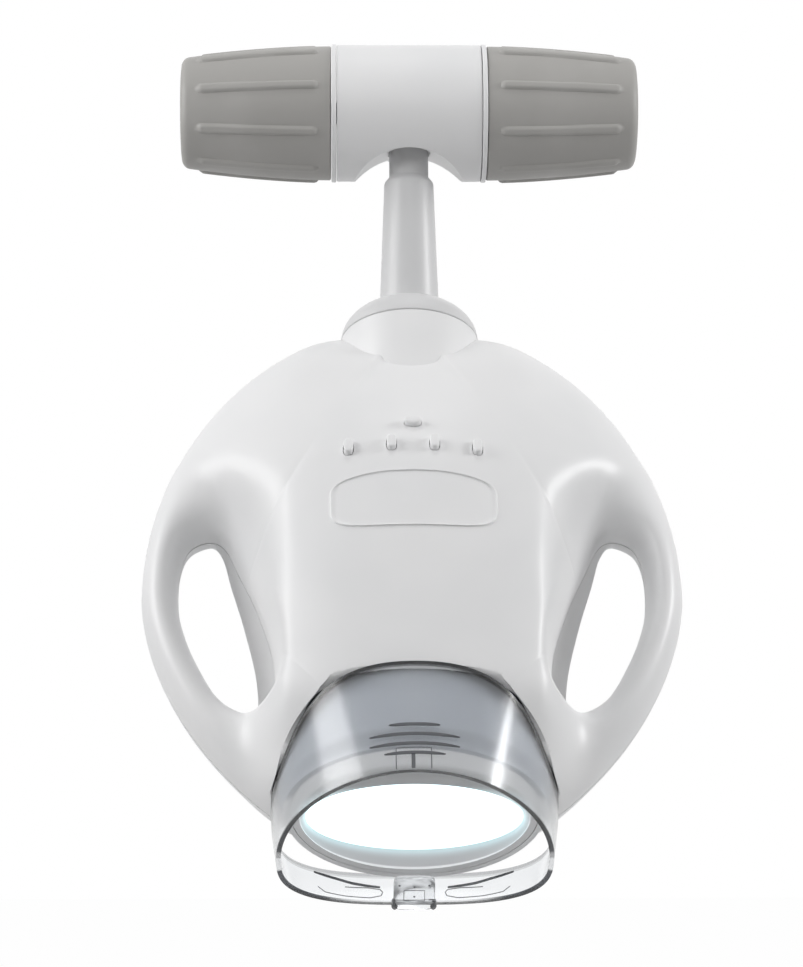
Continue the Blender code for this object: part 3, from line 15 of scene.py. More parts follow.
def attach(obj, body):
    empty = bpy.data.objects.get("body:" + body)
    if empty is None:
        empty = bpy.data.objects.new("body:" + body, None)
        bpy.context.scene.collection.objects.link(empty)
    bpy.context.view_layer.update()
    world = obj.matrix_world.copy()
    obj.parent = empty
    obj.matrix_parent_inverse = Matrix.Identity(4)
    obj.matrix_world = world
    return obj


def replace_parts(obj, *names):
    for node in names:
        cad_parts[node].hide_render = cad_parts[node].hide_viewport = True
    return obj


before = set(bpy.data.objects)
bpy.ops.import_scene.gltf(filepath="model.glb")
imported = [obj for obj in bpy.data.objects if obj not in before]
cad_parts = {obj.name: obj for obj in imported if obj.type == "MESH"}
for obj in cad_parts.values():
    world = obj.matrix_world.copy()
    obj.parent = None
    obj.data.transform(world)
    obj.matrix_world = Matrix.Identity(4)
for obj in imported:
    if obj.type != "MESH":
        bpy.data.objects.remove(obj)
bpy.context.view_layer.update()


# Hub tube: one white ABS moulding that the room arm bolts to from behind. It is bored
# through for the hinge barrel and coped below, where the stem comes out.

HUB_RADIUS = 0.0314
HUB_LENGTH = 0.0662
HUB_EDGE = 0.0006
HUB_BORE = 0.0150
ARM_STANDOFF = 0.0450
BOSS_RADIUS = 0.0200
BOSS_RECESS_RADIUS = 0.0060
BOSS_RECESS_DEPTH = 0.0080
SADDLE_RADIUS = 0.0300
SADDLE_DROP = 0.0480
STEM_SLOT = 0.0096
SLOT_REACH = 0.0400
STEM_LEAN_DEG = 12
TILT_RANGE_DEG = 25
HUB_AXIS = Vector((0, -ARM_STANDOFF, 0))
ROUND = 144
CORNER_STEPS = 4
POLE_RADIUS = 0.0010
SHARP_DEG = 35


def placing(point, x_dir, y_dir, z_dir):
    """Placing matrix whose columns are a piece's own three directions."""
    matrix = Matrix.Identity(4)
    for column, direction in enumerate((x_dir, y_dir, z_dir)):
        for row in range(3):
            matrix[row][column] = direction[row]
    matrix.translation = Vector(point)
    return matrix


class Signal:
    """A number socket; arithmetic on it adds Math nodes to its tree."""

    def __init__(self, tree, socket):
        self.tree, self.socket = tree, socket

    def math(self, operation, *values):
        node = self.tree.node("ShaderNodeMath", {"operation": operation},
                              dict(enumerate((self, *values))))
        return Signal(self.tree, node.outputs[0])

    def __add__(self, other):
        return self.math("ADD", other)

    def __sub__(self, other):
        return self.math("SUBTRACT", other)

    def __rsub__(self, other):
        return (self * -1) + other

    def __mul__(self, other):
        return self.math("MULTIPLY", other)

    def __truediv__(self, other):
        return self.math("DIVIDE", other)

    def __pow__(self, other):
        return self.math("POWER", other)

    __radd__ = __add__
    __rmul__ = __mul__

    def lower(self, other):
        return self.math("MINIMUM", other)

    def higher(self, other):
        return self.math("MAXIMUM", other)

    def step(self, low, high):
        """Soft step from 0 to 1 as the value goes from low to high."""
        node = self.tree.node("ShaderNodeMapRange", {"interpolation_type": "SMOOTHSTEP"},
                              {0: self, 1: low, 2: high, 3: 0.0, 4: 1.0})
        return Signal(self.tree, node.outputs[0])


class Tree:
    """A node tree; node adds one node to it, first its settings and then its values."""

    def __init__(self, tree):
        self.nodes, self.links = tree.nodes, tree.links

    def node(self, kind, settings=None, values=None):
        """New node; a value may be a number, a signal or a socket."""
        node = self.nodes.new(kind)
        for name, setting in (settings or {}).items():
            setattr(node, name, setting)
        for key, value in (values or {}).items():
            if isinstance(value, Signal):
                value = value.socket
            if isinstance(value, bpy.types.NodeSocket):
                self.links.new(value, node.inputs[key])
            else:
                node.inputs[key].default_value = value
        return node


class Finish(Tree):
    """One surface finish: a Principled shader whose plain values sit on its own sockets."""

    def __init__(self, name, color, roughness, **plain):
        self.material = bpy.data.materials.new(name)
        self.material.use_nodes = True
        super().__init__(self.material.node_tree)
        self.shader = self.nodes["Principled BSDF"]
        self.shader.inputs["Base Color"].default_value = (*color, 1)
        self.shader.inputs["Roughness"].default_value = roughness
        for socket, value in plain.items():
            self.shader.inputs[socket.replace("_", " ")].default_value = value
        self.color = color
        self.place = self.node("ShaderNodeTexCoord").outputs["Object"]

    def noise(self, size, detail=2.0, stretch=(1, 1, 1)):
        """Smooth noise from 0 to 1 whose lumps are about size metres across."""
        mapped = self.node("ShaderNodeMapping", None, {0: self.place, 3: stretch})
        grain = self.node("ShaderNodeTexNoise", None,
                          {0: mapped.outputs[0], "Scale": 1 / size, "Detail": detail})
        return Signal(self, grain.outputs[0])

    def blend(self, socket, first, other, share):
        """A colour socket runs from one colour to another by a signal."""
        mix = self.node("ShaderNodeMix", {"data_type": "RGBA"},
                        {0: share, 6: (*first, 1), 7: (*other, 1)})
        self.links.new(mix.outputs[2], self.shader.inputs[socket])

    def tint(self, other, share):
        """Base colour runs from the plain colour to another by a signal."""
        self.blend("Base Color", self.color, other, share)

    def rough(self, signal):
        """Roughness follows a signal."""
        self.links.new(signal.socket, self.shader.inputs["Roughness"])

    def bump(self, height, depth):
        """Raise the surface by a height signal, depth metres for each unit."""
        node = self.node("ShaderNodeBump", None, {"Strength": 1.0, "Distance": depth,
                                                  "Height": height})
        self.links.new(node.outputs[0], self.shader.inputs["Normal"])


def white_moulding(name, tone):
    """Satin white ABS: faint warm and cool drift, mould texture and slight rub marks."""
    finish = Finish(name, (tone, tone, tone + 0.005), 0.42, Coat_Weight=0.06,
                    Coat_Roughness=0.20)
    drift = finish.noise(0.05)
    finish.tint((tone - 0.035, tone - 0.032, tone - 0.025), drift.step(0.35, 0.75))
    rubbed = finish.noise(0.018, 4.0).step(0.5, 0.72)
    fine = finish.noise(0.0007, 1.0)
    finish.rough(rubbed * 0.05 + fine * 0.03 + 0.40)
    finish.bump(fine, 0.000012)
    return finish.material


WHITE = white_moulding("satin_white_abs", 0.80)
# A greyer copy of the same white ABS; on the stem and dome cap its grey is painted shade.
SHADED_STEM_WHITE = white_moulding("satin_white_painted_shade", 0.665)


def linked(name, data):
    """New object in the scene that holds a mesh, a lamp or a camera."""
    thing = bpy.data.objects.new(name, data)
    bpy.context.collection.objects.link(thing)
    return thing


def crisp(piece, sharp_deg=SHARP_DEG):
    """Smooth shading that keeps the edges steeper than an angle."""
    piece.data.shade_smooth()
    piece.data.set_sharp_from_angle(angle=math.radians(sharp_deg))
    return piece


def settle(mesh, place, facing=None):
    """Move a mesh to its place and turn its faces out; facing is the way an open one looks."""
    work = bmesh.new()
    work.from_mesh(mesh)
    bmesh.ops.transform(work, matrix=place, verts=work.verts)
    bmesh.ops.recalc_face_normals(work, faces=work.faces)
    if facing is None:
        outward = work.calc_volume(signed=True)
    else:
        outward = sum(face.normal.dot(facing) * face.calc_area() for face in work.faces)
    if outward < 0:
        bmesh.ops.reverse_faces(work, faces=work.faces)
    work.to_mesh(mesh)
    work.free()


def make_piece(name, points, faces, place, finish, sharp_deg=SHARP_DEG, facing=None):
    """Mesh at its place in the frame, with its finish; without one it is a tool that cuts."""
    mesh = bpy.data.meshes.new(name)
    mesh.from_pydata([tuple(point) for point in points], [], faces)
    settle(mesh, place, facing)
    piece = linked(name, mesh)
    if finish is not None:
        mesh.materials.append(finish)
        crisp(piece, sharp_deg)
    return piece


def stacked(name, loops, place, finish, closed=False, sharp_deg=SHARP_DEG):
    """Skin a stack of equal loops, capped at its ends or joined round on itself."""
    count = len(loops[0])
    points = [point for loop in loops for point in loop]
    faces = []
    pairs = [(step, step + 1) for step in range(len(loops) - 1)]
    if closed:
        pairs.append((len(loops) - 1, 0))
    for low, high in pairs:
        for index in range(count):
            after = (index + 1) % count
            faces.append((low * count + index, low * count + after,
                          high * count + after, high * count + index))
    if not closed:
        faces.append(tuple(range(count)))
        faces.append(tuple(len(points) - count + index for index in range(count)))
    return make_piece(name, points, faces, place, finish, sharp_deg)


def turned(name, profile, place, finish, closed=False):
    """Turn a profile of (radius, height) pairs round a piece's own Z."""
    turns = [2 * math.pi * step / ROUND for step in range(ROUND)]
    return stacked(name, [[(radius * math.cos(turn), radius * math.sin(turn), height)
                           for turn in turns] for radius, height in profile],
                   place, finish, closed)


def cylinder(name, radius, low, high, place, finish=None):
    """Plain round bar or a tool that bores a hole."""
    return turned(name, [(radius, low), (radius, high)], place, finish)


def rounded(profile, sizes):
    """Round each corner of a profile by its own size; 0 leaves the corner sharp."""
    smooth = []
    for index, (corner, size) in enumerate(zip(profile, sizes)):
        if size == 0:
            smooth.append(corner)
            continue
        here = Vector(corner)
        before = Vector(profile[index - 1]) - here
        after = Vector(profile[(index + 1) % len(profile)]) - here
        start = here + before.normalized() * min(size, before.length / 2)
        end = here + after.normalized() * min(size, after.length / 2)
        for step in range(CORNER_STEPS + 1):
            t = step / CORNER_STEPS
            smooth.append(tuple(start * (1 - t) ** 2 + here * 2 * t * (1 - t) + end * t * t))
    return smooth


def carve(piece, *cutters, operation="DIFFERENCE"):
    """Cut pieces out of a piece, or join them to it, and bake the result."""
    for cutter in cutters:
        modifier = piece.modifiers.new(operation, "BOOLEAN")
        modifier.operation = operation
        modifier.solver = "MANIFOLD"
        modifier.object = cutter
    result = bpy.data.meshes.new_from_object(
        piece.evaluated_get(bpy.context.evaluated_depsgraph_get()))
    piece.modifiers.clear()
    piece.data = result
    for cutter in cutters:
        bpy.data.objects.remove(cutter)
    return piece


RIGHT_WAY = placing(HUB_AXIS, (0, 1, 0), (0, 0, 1), (1, 0, 0))
LEFT_WAY = placing(HUB_AXIS, (0, -1, 0), (0, 0, 1), (-1, 0, 0))
FROM_ARM = placing((0, 0, 0), (1, 0, 0), (0, 0, 1), (0, -1, 0))

half_hub = HUB_LENGTH / 2
hub = turned("hub_moulding", rounded(
    [(HUB_BORE, -half_hub), (HUB_RADIUS, -half_hub), (HUB_RADIUS, half_hub), (HUB_BORE, half_hub)],
    [0, HUB_EDGE, HUB_EDGE, 0]), RIGHT_WAY, WHITE, closed=True)
boss = turned("arm_boss", [(POLE_RADIUS, 0), (BOSS_RADIUS - HUB_EDGE, 0), (BOSS_RADIUS, HUB_EDGE),
                           (BOSS_RADIUS, ARM_STANDOFF - HUB_BORE)], FROM_ARM, WHITE)
carve(hub, boss, operation="UNION")
below = placing(HUB_AXIS - Vector((0, 0, SADDLE_DROP)), (1, 0, 0), (0, 0, 1), (0, -1, 0))
saddle = cylinder("saddle", SADDLE_RADIUS, -2 * HUB_RADIUS, 2 * HUB_RADIUS, below)
bore = cylinder("bore", HUB_BORE, -HUB_LENGTH, HUB_LENGTH, RIGHT_WAY)
leans = [math.radians(STEM_LEAN_DEG + turn) for turn in (-TILT_RANGE_DEG, 0, TILT_RANGE_DEG)]
sweep = [(0, 0)] + [(-SLOT_REACH * math.sin(lean), -SLOT_REACH * math.cos(lean)) for lean in leans]
slot = [stacked("stem_slot", [[(x, y, z) for y, z in sweep] for x in (-STEM_SLOT, STEM_SLOT)],
                Matrix.Translation(HUB_AXIS), None)]
for lean in (leans[0], leans[2]):
    down = Vector((0, -math.sin(lean), -math.cos(lean)))
    slot.append(cylinder("slot_end", STEM_SLOT, 0, SLOT_REACH,
                         placing(HUB_AXIS, (1, 0, 0), down.cross(Vector((1, 0, 0))), down)))
recesses = []
for side in (-1, 1):
    middle = placing((side * (BOSS_RADIUS + BOSS_RECESS_RADIUS) / 2, 0, 0),
                     (1, 0, 0), (0, 0, 1), (0, -1, 0))
    recesses.append(cylinder("recess", BOSS_RECESS_RADIUS, -BOSS_RECESS_DEPTH,
                             BOSS_RECESS_DEPTH, middle))
crisp(carve(hub, saddle, bore, *slot, *recesses))
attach(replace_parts(hub, "hub_tube"), "hub")


# End rings: thin white washers between the hub and each knob, turned with a soft edge.
# They ride on the clamp rod and show as a bright line beside each knob.

RING_RADIUS = 0.0318
RING_THICKNESS = 0.0022
RING_EDGE = 0.0007
ROD_HOLE = 0.0056
SEAM = 0.0003

ring_start = half_hub + SEAM
for side, way in (("left", LEFT_WAY), ("right", RIGHT_WAY)):
    washer = turned(side + "_white_ring", rounded(
        [(ROD_HOLE, ring_start), (RING_RADIUS, ring_start),
         (RING_RADIUS, ring_start + RING_THICKNESS), (ROD_HOLE, ring_start + RING_THICKNESS)],
        [0, RING_EDGE, RING_EDGE, 0]), way, WHITE, closed=True)
    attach(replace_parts(washer, side + "_end_ring"), "hub")


# Clamp knobs: two tapered caps in warm grey matt plastic with nine soft grip ribs each.
# They are moulded hollow and screw onto the rod by the brass inserts inside.

KNOB_LENGTH = 0.0686
KNOB_INNER_RADIUS = 0.0308
KNOB_OUTER_RADIUS = 0.0252
KNOB_EDGE = 0.0034
KNOB_TAPER_POWER = 1.7
KNOB_MOUTH = 0.0240
KNOB_RIB_COUNT = 9
KNOB_RIB_HEIGHT = 0.0014
KNOB_RIB_HALF_WIDTH = 0.0022
KNOB_RIB_WIDENING = 0.2
KNOB_RIB_FULLNESS = 4.0
KNOB_RIB_RUN_IN = 0.001
KNOB_RIB_START = 0.0058
KNOB_RIB_END_GAP = 0.0080
KNOB_RIB_TURNS = {"left": math.radians(59), "right": math.radians(81)}
KNOB_COLUMNS = 432
KNOB_ROWS = 96
KNOB_WELD = 0.000001


class Recipe(Tree):
    """A Geometry Nodes tree written here, with named number inputs and one mesh out."""

    def __init__(self, name, **inputs):
        self.group = bpy.data.node_groups.new(name, "GeometryNodeTree")
        super().__init__(self.group)
        self.sockets = {}
        for word, value in inputs.items():
            kind = "NodeSocketInt" if isinstance(value, int) else "NodeSocketFloat"
            socket = self.group.interface.new_socket(word, in_out="INPUT", socket_type=kind)
            self.sockets[word] = (socket.identifier, value)
        self.group.interface.new_socket("Geometry", in_out="OUTPUT",
                                        socket_type="NodeSocketGeometry")
        self.entry = self.node("NodeGroupInput")

    def __getitem__(self, word):
        """A named input as a signal."""
        return Signal(self, self.entry.outputs[word])

    def point(self, x, y, z):
        """Vector socket put together from three signals."""
        return self.node("ShaderNodeCombineXYZ", None, {0: x, 1: y, 2: z}).outputs[0]

    def make(self, name, shape, finish, place):
        """Close the tree, run it once and keep its result as a plain mesh in its place."""
        whole = self.node("GeometryNodeRealizeInstances", None, {0: shape})
        painted = self.node("GeometryNodeSetMaterial", None,
                            {0: whole.outputs[0], "Material": finish})
        exit_node = self.node("NodeGroupOutput")
        self.links.new(painted.outputs[0], exit_node.inputs[0])
        holder = linked(name + "_recipe", bpy.data.meshes.new(name + "_recipe"))
        modifier = holder.modifiers.new("recipe", "NODES")
        modifier.node_group = self.group
        for identifier, value in self.sockets.values():
            modifier[identifier] = value
        made = bpy.data.meshes.new_from_object(
            holder.evaluated_get(bpy.context.evaluated_depsgraph_get()))
        bpy.data.objects.remove(holder)
        settle(made, place)
        made.name = name
        return crisp(linked(name, made))


def grip_grey():
    """Matt warm grey grip plastic with a fine spark-eroded grain and hand-worn patches."""
    finish = Finish("matt_grey_grip", (0.37, 0.362, 0.348), 0.55, Coat_Weight=0.03)
    drift = finish.noise(0.03, 3.0)
    finish.tint((0.40, 0.392, 0.378), drift.step(0.4, 0.8))
    grain = finish.noise(0.00045, 2.0)
    finish.rough(drift.step(0.45, 0.7) * -0.07 + grain * 0.08 + 0.52)
    finish.bump(grain, 0.00003)
    return finish.material


GRIP_GREY = grip_grey()

knob_start = ring_start + RING_THICKNESS + SEAM
for side, way in (("left", LEFT_WAY), ("right", RIGHT_WAY)):
    recipe = Recipe(side + "_knob_recipe", length=KNOB_LENGTH, inner_radius=KNOB_INNER_RADIUS,
                    outer_radius=KNOB_OUTER_RADIUS, edge=KNOB_EDGE, mouth=KNOB_MOUTH,
                    ribs=KNOB_RIB_COUNT, rib_height=KNOB_RIB_HEIGHT,
                    rib_half_width=KNOB_RIB_HALF_WIDTH, rib_start=KNOB_RIB_START,
                    rib_end_gap=KNOB_RIB_END_GAP, turn=KNOB_RIB_TURNS[side])
    grid = recipe.node("GeometryNodeMeshGrid", None,
                       {0: 1.0, 1: 1.0, 2: KNOB_COLUMNS + 1, 3: KNOB_ROWS + 1})
    spot = recipe.node("ShaderNodeSeparateXYZ", None,
                       {0: recipe.node("GeometryNodeInputPosition").outputs[0]})
    angle = (Signal(recipe, spot.outputs[0]) + 0.5) * (2 * math.pi)
    edge = recipe["edge"]
    straight = recipe["length"] - edge
    inward = recipe["inner_radius"] - recipe["mouth"]
    arc = edge * (math.pi / 2)
    path = (Signal(recipe, spot.outputs[1]) + 0.5) * (
        inward + straight + arc + recipe["outer_radius"] - edge) - inward
    climb = path.higher(0.0).lower(straight)
    bend = ((path - straight).higher(0.0).lower(arc)) / edge
    height = climb + edge * bend.math("SINE")
    taper = (height / recipe["length"]) ** KNOB_TAPER_POWER
    radius = (recipe["inner_radius"]
              + (recipe["outer_radius"] - recipe["inner_radius"]) * taper
              + path.lower(0.0) - edge * (1 - bend.math("COSINE"))
              - (path - straight - arc).higher(0.0)).higher(0.0)
    sector = (angle - recipe["turn"]) * recipe["ribs"] / (2 * math.pi)
    sideways = (sector + 0.5).math("FLOORED_MODULO", 1.0) - 0.5
    sideways = sideways * radius * (2 * math.pi) / recipe["ribs"]
    rib_middle = (recipe["rib_start"] + recipe["length"] - recipe["rib_end_gap"]) / 2
    rib_half = (recipe["length"] - recipe["rib_end_gap"] - recipe["rib_start"]) / 2
    past = ((height - rib_middle).math("ABSOLUTE") - rib_half
            + recipe["rib_half_width"]).higher(0.0)
    off_rib = (sideways * sideways + past * past).math("SQRT")
    widen = height / recipe["length"] * KNOB_RIB_WIDENING + 1 - KNOB_RIB_WIDENING / 2
    across = (off_rib / (recipe["rib_half_width"] * widen)).lower(1.0)
    crown = 1 - across ** KNOB_RIB_FULLNESS
    reach = radius + recipe["rib_height"] * crown * path.step(0.0, KNOB_RIB_RUN_IN)
    shaped = recipe.node("GeometryNodeSetPosition", None, {
        0: grid.outputs[0],
        "Position": recipe.point(reach * angle.math("COSINE"), reach * angle.math("SINE"),
                                 height)})
    welded = recipe.node("GeometryNodeMergeByDistance", None,
                         {0: shaped.outputs[0], "Distance": KNOB_WELD})
    seat = way @ Matrix.Translation((0, 0, knob_start))
    knob = recipe.make(side + "_grip_knob", welded.outputs[0], GRIP_GREY, seat)
    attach(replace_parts(knob, side + "_knob"), side + "_knob")


# Clamp rod, inserts, discs and sleeves: turned metal and a pressed friction disc. They
# are hidden in the hub and stay as the CAD has them, with their real finishes.

def turned_metal(name, color, roughness):
    """Bright turned metal with fine tool rings and a slightly uneven polish."""
    finish = Finish(name, color, roughness, Metallic=1.0)
    lines = finish.noise(0.0006, 2.0, (1, 6, 6))
    finish.rough(lines * 0.12 + (roughness - 0.05))
    finish.bump(lines, 0.00001)
    return finish.material


def friction_material():
    """Pressed brown friction material: grains, resin and short fibres."""
    finish = Finish("pressed_friction_disc", (0.16, 0.11, 0.08), 0.75)
    grains = finish.noise(0.0008, 4.0)
    finish.tint((0.30, 0.24, 0.18), grains.step(0.5, 0.65))
    finish.bump(grains, 0.00008)
    return finish.material


def refinish(material, *nodes):
    """Give CAD nodes a finish and leave their meshes alone."""
    for name in nodes:
        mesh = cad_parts[name].data
        mesh.materials.clear()
        mesh.materials.append(material)


STEEL = turned_metal("turned_steel", (0.56, 0.56, 0.58), 0.28)
BRASS = turned_metal("turned_brass", (0.70, 0.52, 0.26), 0.30)
refinish(STEEL, "clamp_rod", "left_pressure_sleeve", "right_pressure_sleeve",
         "swivel_spindle", "swivel_washer", "swivel_nut")
refinish(BRASS, "left_knob_insert", "right_knob_insert")
refinish(friction_material(), "left_friction_disc", "right_friction_disc")


# Stem: barrel, spigot, collar and tapered tube in one white moulding. The spigot turns
# in the hub's saddle, and the collar is the step that shows just below it.

LEAN = math.radians(STEM_LEAN_DEG)
HEAD_LEAN = math.radians(28)
STEM_DROP = 0.1073
SPIGOT_RADIUS = 0.0090
SPIGOT_LENGTH = 0.0312
SPIGOT_ROUND = 0.0004
COLLAR_RADIUS = 0.0113
COLLAR_CHAMFER = 0.0026
COLLAR_ROUND = 0.0012
STEM_FOOT_RADIUS = 0.0136
STEM_FOOT_SINK = 0.0040
STEM_FOOT_ROUND = 0.0005
BARREL_HALF = 0.0150
BARREL_RADIUS = 0.0147
DOME_HEIGHT = 0.0185

U_DIR = Vector((1, 0, 0))
V_DIR = Vector((0, -math.sin(HEAD_LEAN), -math.cos(HEAD_LEAN)))
W_DIR = Vector((0, -math.cos(HEAD_LEAN), math.sin(HEAD_LEAN)))
STEM_DIR = Vector((0, -math.sin(LEAN), -math.cos(LEAN)))
STEM_WAY = placing(HUB_AXIS, U_DIR, STEM_DIR.cross(U_DIR), STEM_DIR)
stem_length = STEM_DROP / math.cos(LEAN)
SEAM_POINT = HUB_AXIS + stem_length * STEM_DIR
stem_foot = stem_length - DOME_HEIGHT * math.cos(HEAD_LEAN - LEAN) + STEM_FOOT_SINK
collar = SPIGOT_LENGTH + COLLAR_CHAMFER
# The stem and its barrel wear the greyer white, whose grey is painted shade.
stem = turned("stem_moulding", rounded(
    [(POLE_RADIUS, 0), (SPIGOT_RADIUS, 0), (SPIGOT_RADIUS, SPIGOT_LENGTH),
     (COLLAR_RADIUS, collar), (STEM_FOOT_RADIUS, stem_foot), (POLE_RADIUS, stem_foot)],
    [0, 0, SPIGOT_ROUND, COLLAR_ROUND, STEM_FOOT_ROUND, 0]), STEM_WAY, SHADED_STEM_WHITE)
barrel = cylinder("barrel", BARREL_RADIUS, -BARREL_HALF, BARREL_HALF, RIGHT_WAY, SHADED_STEM_WHITE)
carve(stem, barrel, operation="UNION")
rod_room = cylinder("rod_room", ROD_HOLE - SEAM, -HUB_LENGTH, HUB_LENGTH, RIGHT_WAY)
crisp(carve(stem, rod_room))
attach(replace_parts(stem, "stem"), "stem")


# Dome cap: a shallow white cup over the swivel joint. It turns with the stem, and its
# rim meets the neck in a fine dark seam.

NECK_RADIUS = 0.0311
DOME_WALL = 0.0040
DOME_EDGE = 0.0004
DOME_STEPS = 18
DOME_FULLNESS = 0.92
NECK_WAY = placing(SEAM_POINT, U_DIR, W_DIR, V_DIR)


def dome_arc(radius, height):
    """Soft quarter oval from the rim up to the crown; heights run back up the neck."""
    arc = []
    for step in range(DOME_STEPS + 1):
        turn = math.pi / 2 * step / DOME_STEPS
        arc.append((max(radius * math.cos(turn) ** DOME_FULLNESS, POLE_RADIUS / 2),
                    -SEAM / 2 - DOME_EDGE - (height - DOME_EDGE) * math.sin(turn)))
    return arc


rim = -SEAM / 2
outer = [(NECK_RADIUS - DOME_EDGE, rim)] + dome_arc(NECK_RADIUS, DOME_HEIGHT)
inner = [(NECK_RADIUS - DOME_WALL, rim)] + dome_arc(NECK_RADIUS - DOME_WALL,
                                                    DOME_HEIGHT - DOME_WALL)
# The dome cap wears the stem's greyer white, whose grey is painted shade.
dome = turned("dome_cap_moulding", outer + inner[::-1], NECK_WAY, SHADED_STEM_WHITE)
socket = cylinder("socket", STEM_FOOT_RADIUS + SEAM / 2, SPIGOT_LENGTH,
                  stem_foot + STEM_FOOT_SINK, STEM_WAY)
crisp(carve(dome, socket))
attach(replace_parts(dome, "dome_cap"), "stem")


# Swivel neck: the white sleeve under the dome, moulded apart from the shells and
# gripped between them. The swivel spindle runs in its floor.

NECK_LENGTH = 0.0480
NECK_WALL = 0.0030
NECK_FLOOR_DEPTH = 0.0100
NECK_FLOOR_THICKNESS = 0.0050
SPINDLE_HOLE = 0.0078

neck_bore = NECK_RADIUS - NECK_WALL
neck_floor = NECK_FLOOR_DEPTH + NECK_FLOOR_THICKNESS
neck = turned("neck_sleeve", rounded(
    [(NECK_RADIUS, SEAM / 2), (NECK_RADIUS, NECK_LENGTH), (neck_bore, NECK_LENGTH),
     (neck_bore, neck_floor), (SPINDLE_HOLE, neck_floor), (SPINDLE_HOLE, NECK_FLOOR_DEPTH),
     (neck_bore, NECK_FLOOR_DEPTH), (neck_bore, SEAM / 2)],
    [DOME_EDGE, 0, 0, 0, 0, 0, 0, 0]), NECK_WAY, WHITE, closed=True)
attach(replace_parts(neck, "swivel_neck"), "head")


# Head shells: the front and rear halves of the lamp head, injection moulded in white ABS
# with an even wall. They meet at the parting line and close round the two finger holes,
# whose outer sides are the grips.

SHELL_WALL = 0.0024
HEAD_HALF_WIDTH = 0.1182
HEAD_WIDEST = 0.1310
HEAD_RISE = 0.1395
HEAD_FALL = 0.1270
HEAD_TOP = -0.0015
HEAD_BOTTOM = 0.2400
FALL_POWER = 1.7
CORNER_BLEND = 0.0060
FRONT_HEIGHT = 0.0575
FRONT_EDGE_REACH = 0.1350
FRONT_LOW_REACH = 0.0400
LOW_REACH_START = 0.1000
LOW_REACH_LENGTH = 0.0800
FRONT_EDGE_POWER = 1.45
CREST_HALF_WIDTH = 0.0560
CREST_FLARE = 0.0380
CREST_FLARE_START = 0.1120
CREST_FLARE_REACH = 0.0460
CREST_FLARE_MOST = 3
CREST_POWER = 1.9
CREST_DIP = 0.0060
WALL_REACH = 0.0200
PANEL_CROWN = 0.0130
PANEL_CROWN_WIDTH = 0.0560
NOSE_DROP = 0.0170
NOSE_DROP_START = 0.1880
NOSE_DROP_REACH = 0.0420
HOLE_EDGE_HEIGHT = 0.0620
HOLE_EDGE_REACH = 0.0150
BAR_HEIGHT = 0.0165
BACK_DEPTH = 0.0400
BACK_EDGE_REACH = 0.0360
BACK_EDGE_POWER = 1.6
BACK_BAR_DEPTH = 0.0150
BACK_HOLE_REACH = 0.0120
HOLE_FLARE = 0.0075
HOLE_FLARE_DEPTH = 0.0180
FLARE_END_SHARE = 0.6
FLARE_FADE_POWER = 0.8
FLARE_DOWN_SHARE = 0.6
FLARE_LEAST_DEPTH = 0.08
HOLE_INNER = 0.0598
HOLE_OUTER = 0.1024
HOLE_UPPER = 0.1020
HOLE_LOWER = 0.1872
# Points round a finger hole, as shares of its width and length from its inner upper corner.
HOLE_POINT_SHARES = (
    (0.00, 0.90), (0.03, 0.66), (0.20, 0.39), (0.38, 0.19), (0.52, 0.045), (0.68, 0.00),
    (0.89, 0.05), (0.985, 0.19), (0.99, 0.38), (0.93, 0.53), (0.79, 0.71), (0.565, 0.905),
    (0.33, 0.985), (0.11, 0.99),
)
OUTLINE_STEPS = 1600
MIDDLE_STEPS = 400
HOLE_STEPS = 40
AROUND = 304
AROUND_SIDE = 188
OUTWARD = 72
FLARE_ROWS = 8
EDGE_CROWDING = 0.55
SOFTEN_SHARE = 0.9
SOFTEN_PASSES = 22
SOFTEN_MARGIN = 0.0100
MIDDLE_HALF_WIDTH = 0.0200
PARTING_GAP = 0.0007
SHELL_SHARP_DEG = 50

HEAD_WAY = placing(SEAM_POINT, U_DIR, -V_DIR, W_DIR)


def soft_step(value):
    """Smooth climb from 0 to 1."""
    value = np.clip(value, 0, 1)
    return value * value * (3 - 2 * value)


def soft_lower(first, second, blend):
    """Lower of two heights with a rounded meeting line."""
    share = np.clip(0.5 + 0.5 * (second - first) / blend, 0, 1)
    return second * (1 - share) + first * share - blend * share * (1 - share)


def head_outline():
    """Right half of the parting line from the top middle to the bottom middle."""
    turn = np.linspace(0, math.pi, OUTLINE_STEPS)
    u = HEAD_HALF_WIDTH * np.sin(turn)
    v = HEAD_WIDEST - HEAD_RISE * np.cos(turn)
    low = turn > math.pi / 2
    u[low] = HEAD_HALF_WIDTH * np.abs(np.sin(turn[low])) ** (2 / FALL_POWER)
    v[low] = HEAD_WIDEST + HEAD_FALL * np.abs(np.cos(turn[low])) ** (2 / FALL_POWER)
    v = -soft_lower(-v, np.full_like(v, -HEAD_TOP), CORNER_BLEND)
    v = soft_lower(v, np.full_like(v, HEAD_BOTTOM), CORNER_BLEND)
    return np.column_stack([u, v])


def finger_hole(flare):
    """Smooth loop of one finger hole; flare draws its inner side towards the grip."""
    corners = []
    for outward, down in HOLE_POINT_SHARES:
        pull = flare * max(1 - outward / FLARE_END_SHARE, 0) ** FLARE_FADE_POWER
        corners.append((HOLE_INNER + outward * (HOLE_OUTER - HOLE_INNER) + pull,
                        HOLE_UPPER + down * (HOLE_LOWER - HOLE_UPPER)
                        + pull * (1 - down) * FLARE_DOWN_SHARE))
    corners = np.array(corners)
    loop = []
    for index in range(len(corners)):
        a, b = corners[index - 1], corners[index]
        c, d = corners[(index + 1) % len(corners)], corners[(index + 2) % len(corners)]
        for t in np.linspace(0, 1, HOLE_STEPS, endpoint=False):
            loop.append(0.5 * (2 * b + (c - a) * t + (2 * a - 5 * b + 4 * c - d) * t * t
                               + (3 * b - a - 3 * c + d) * t ** 3))
    return np.array(loop)


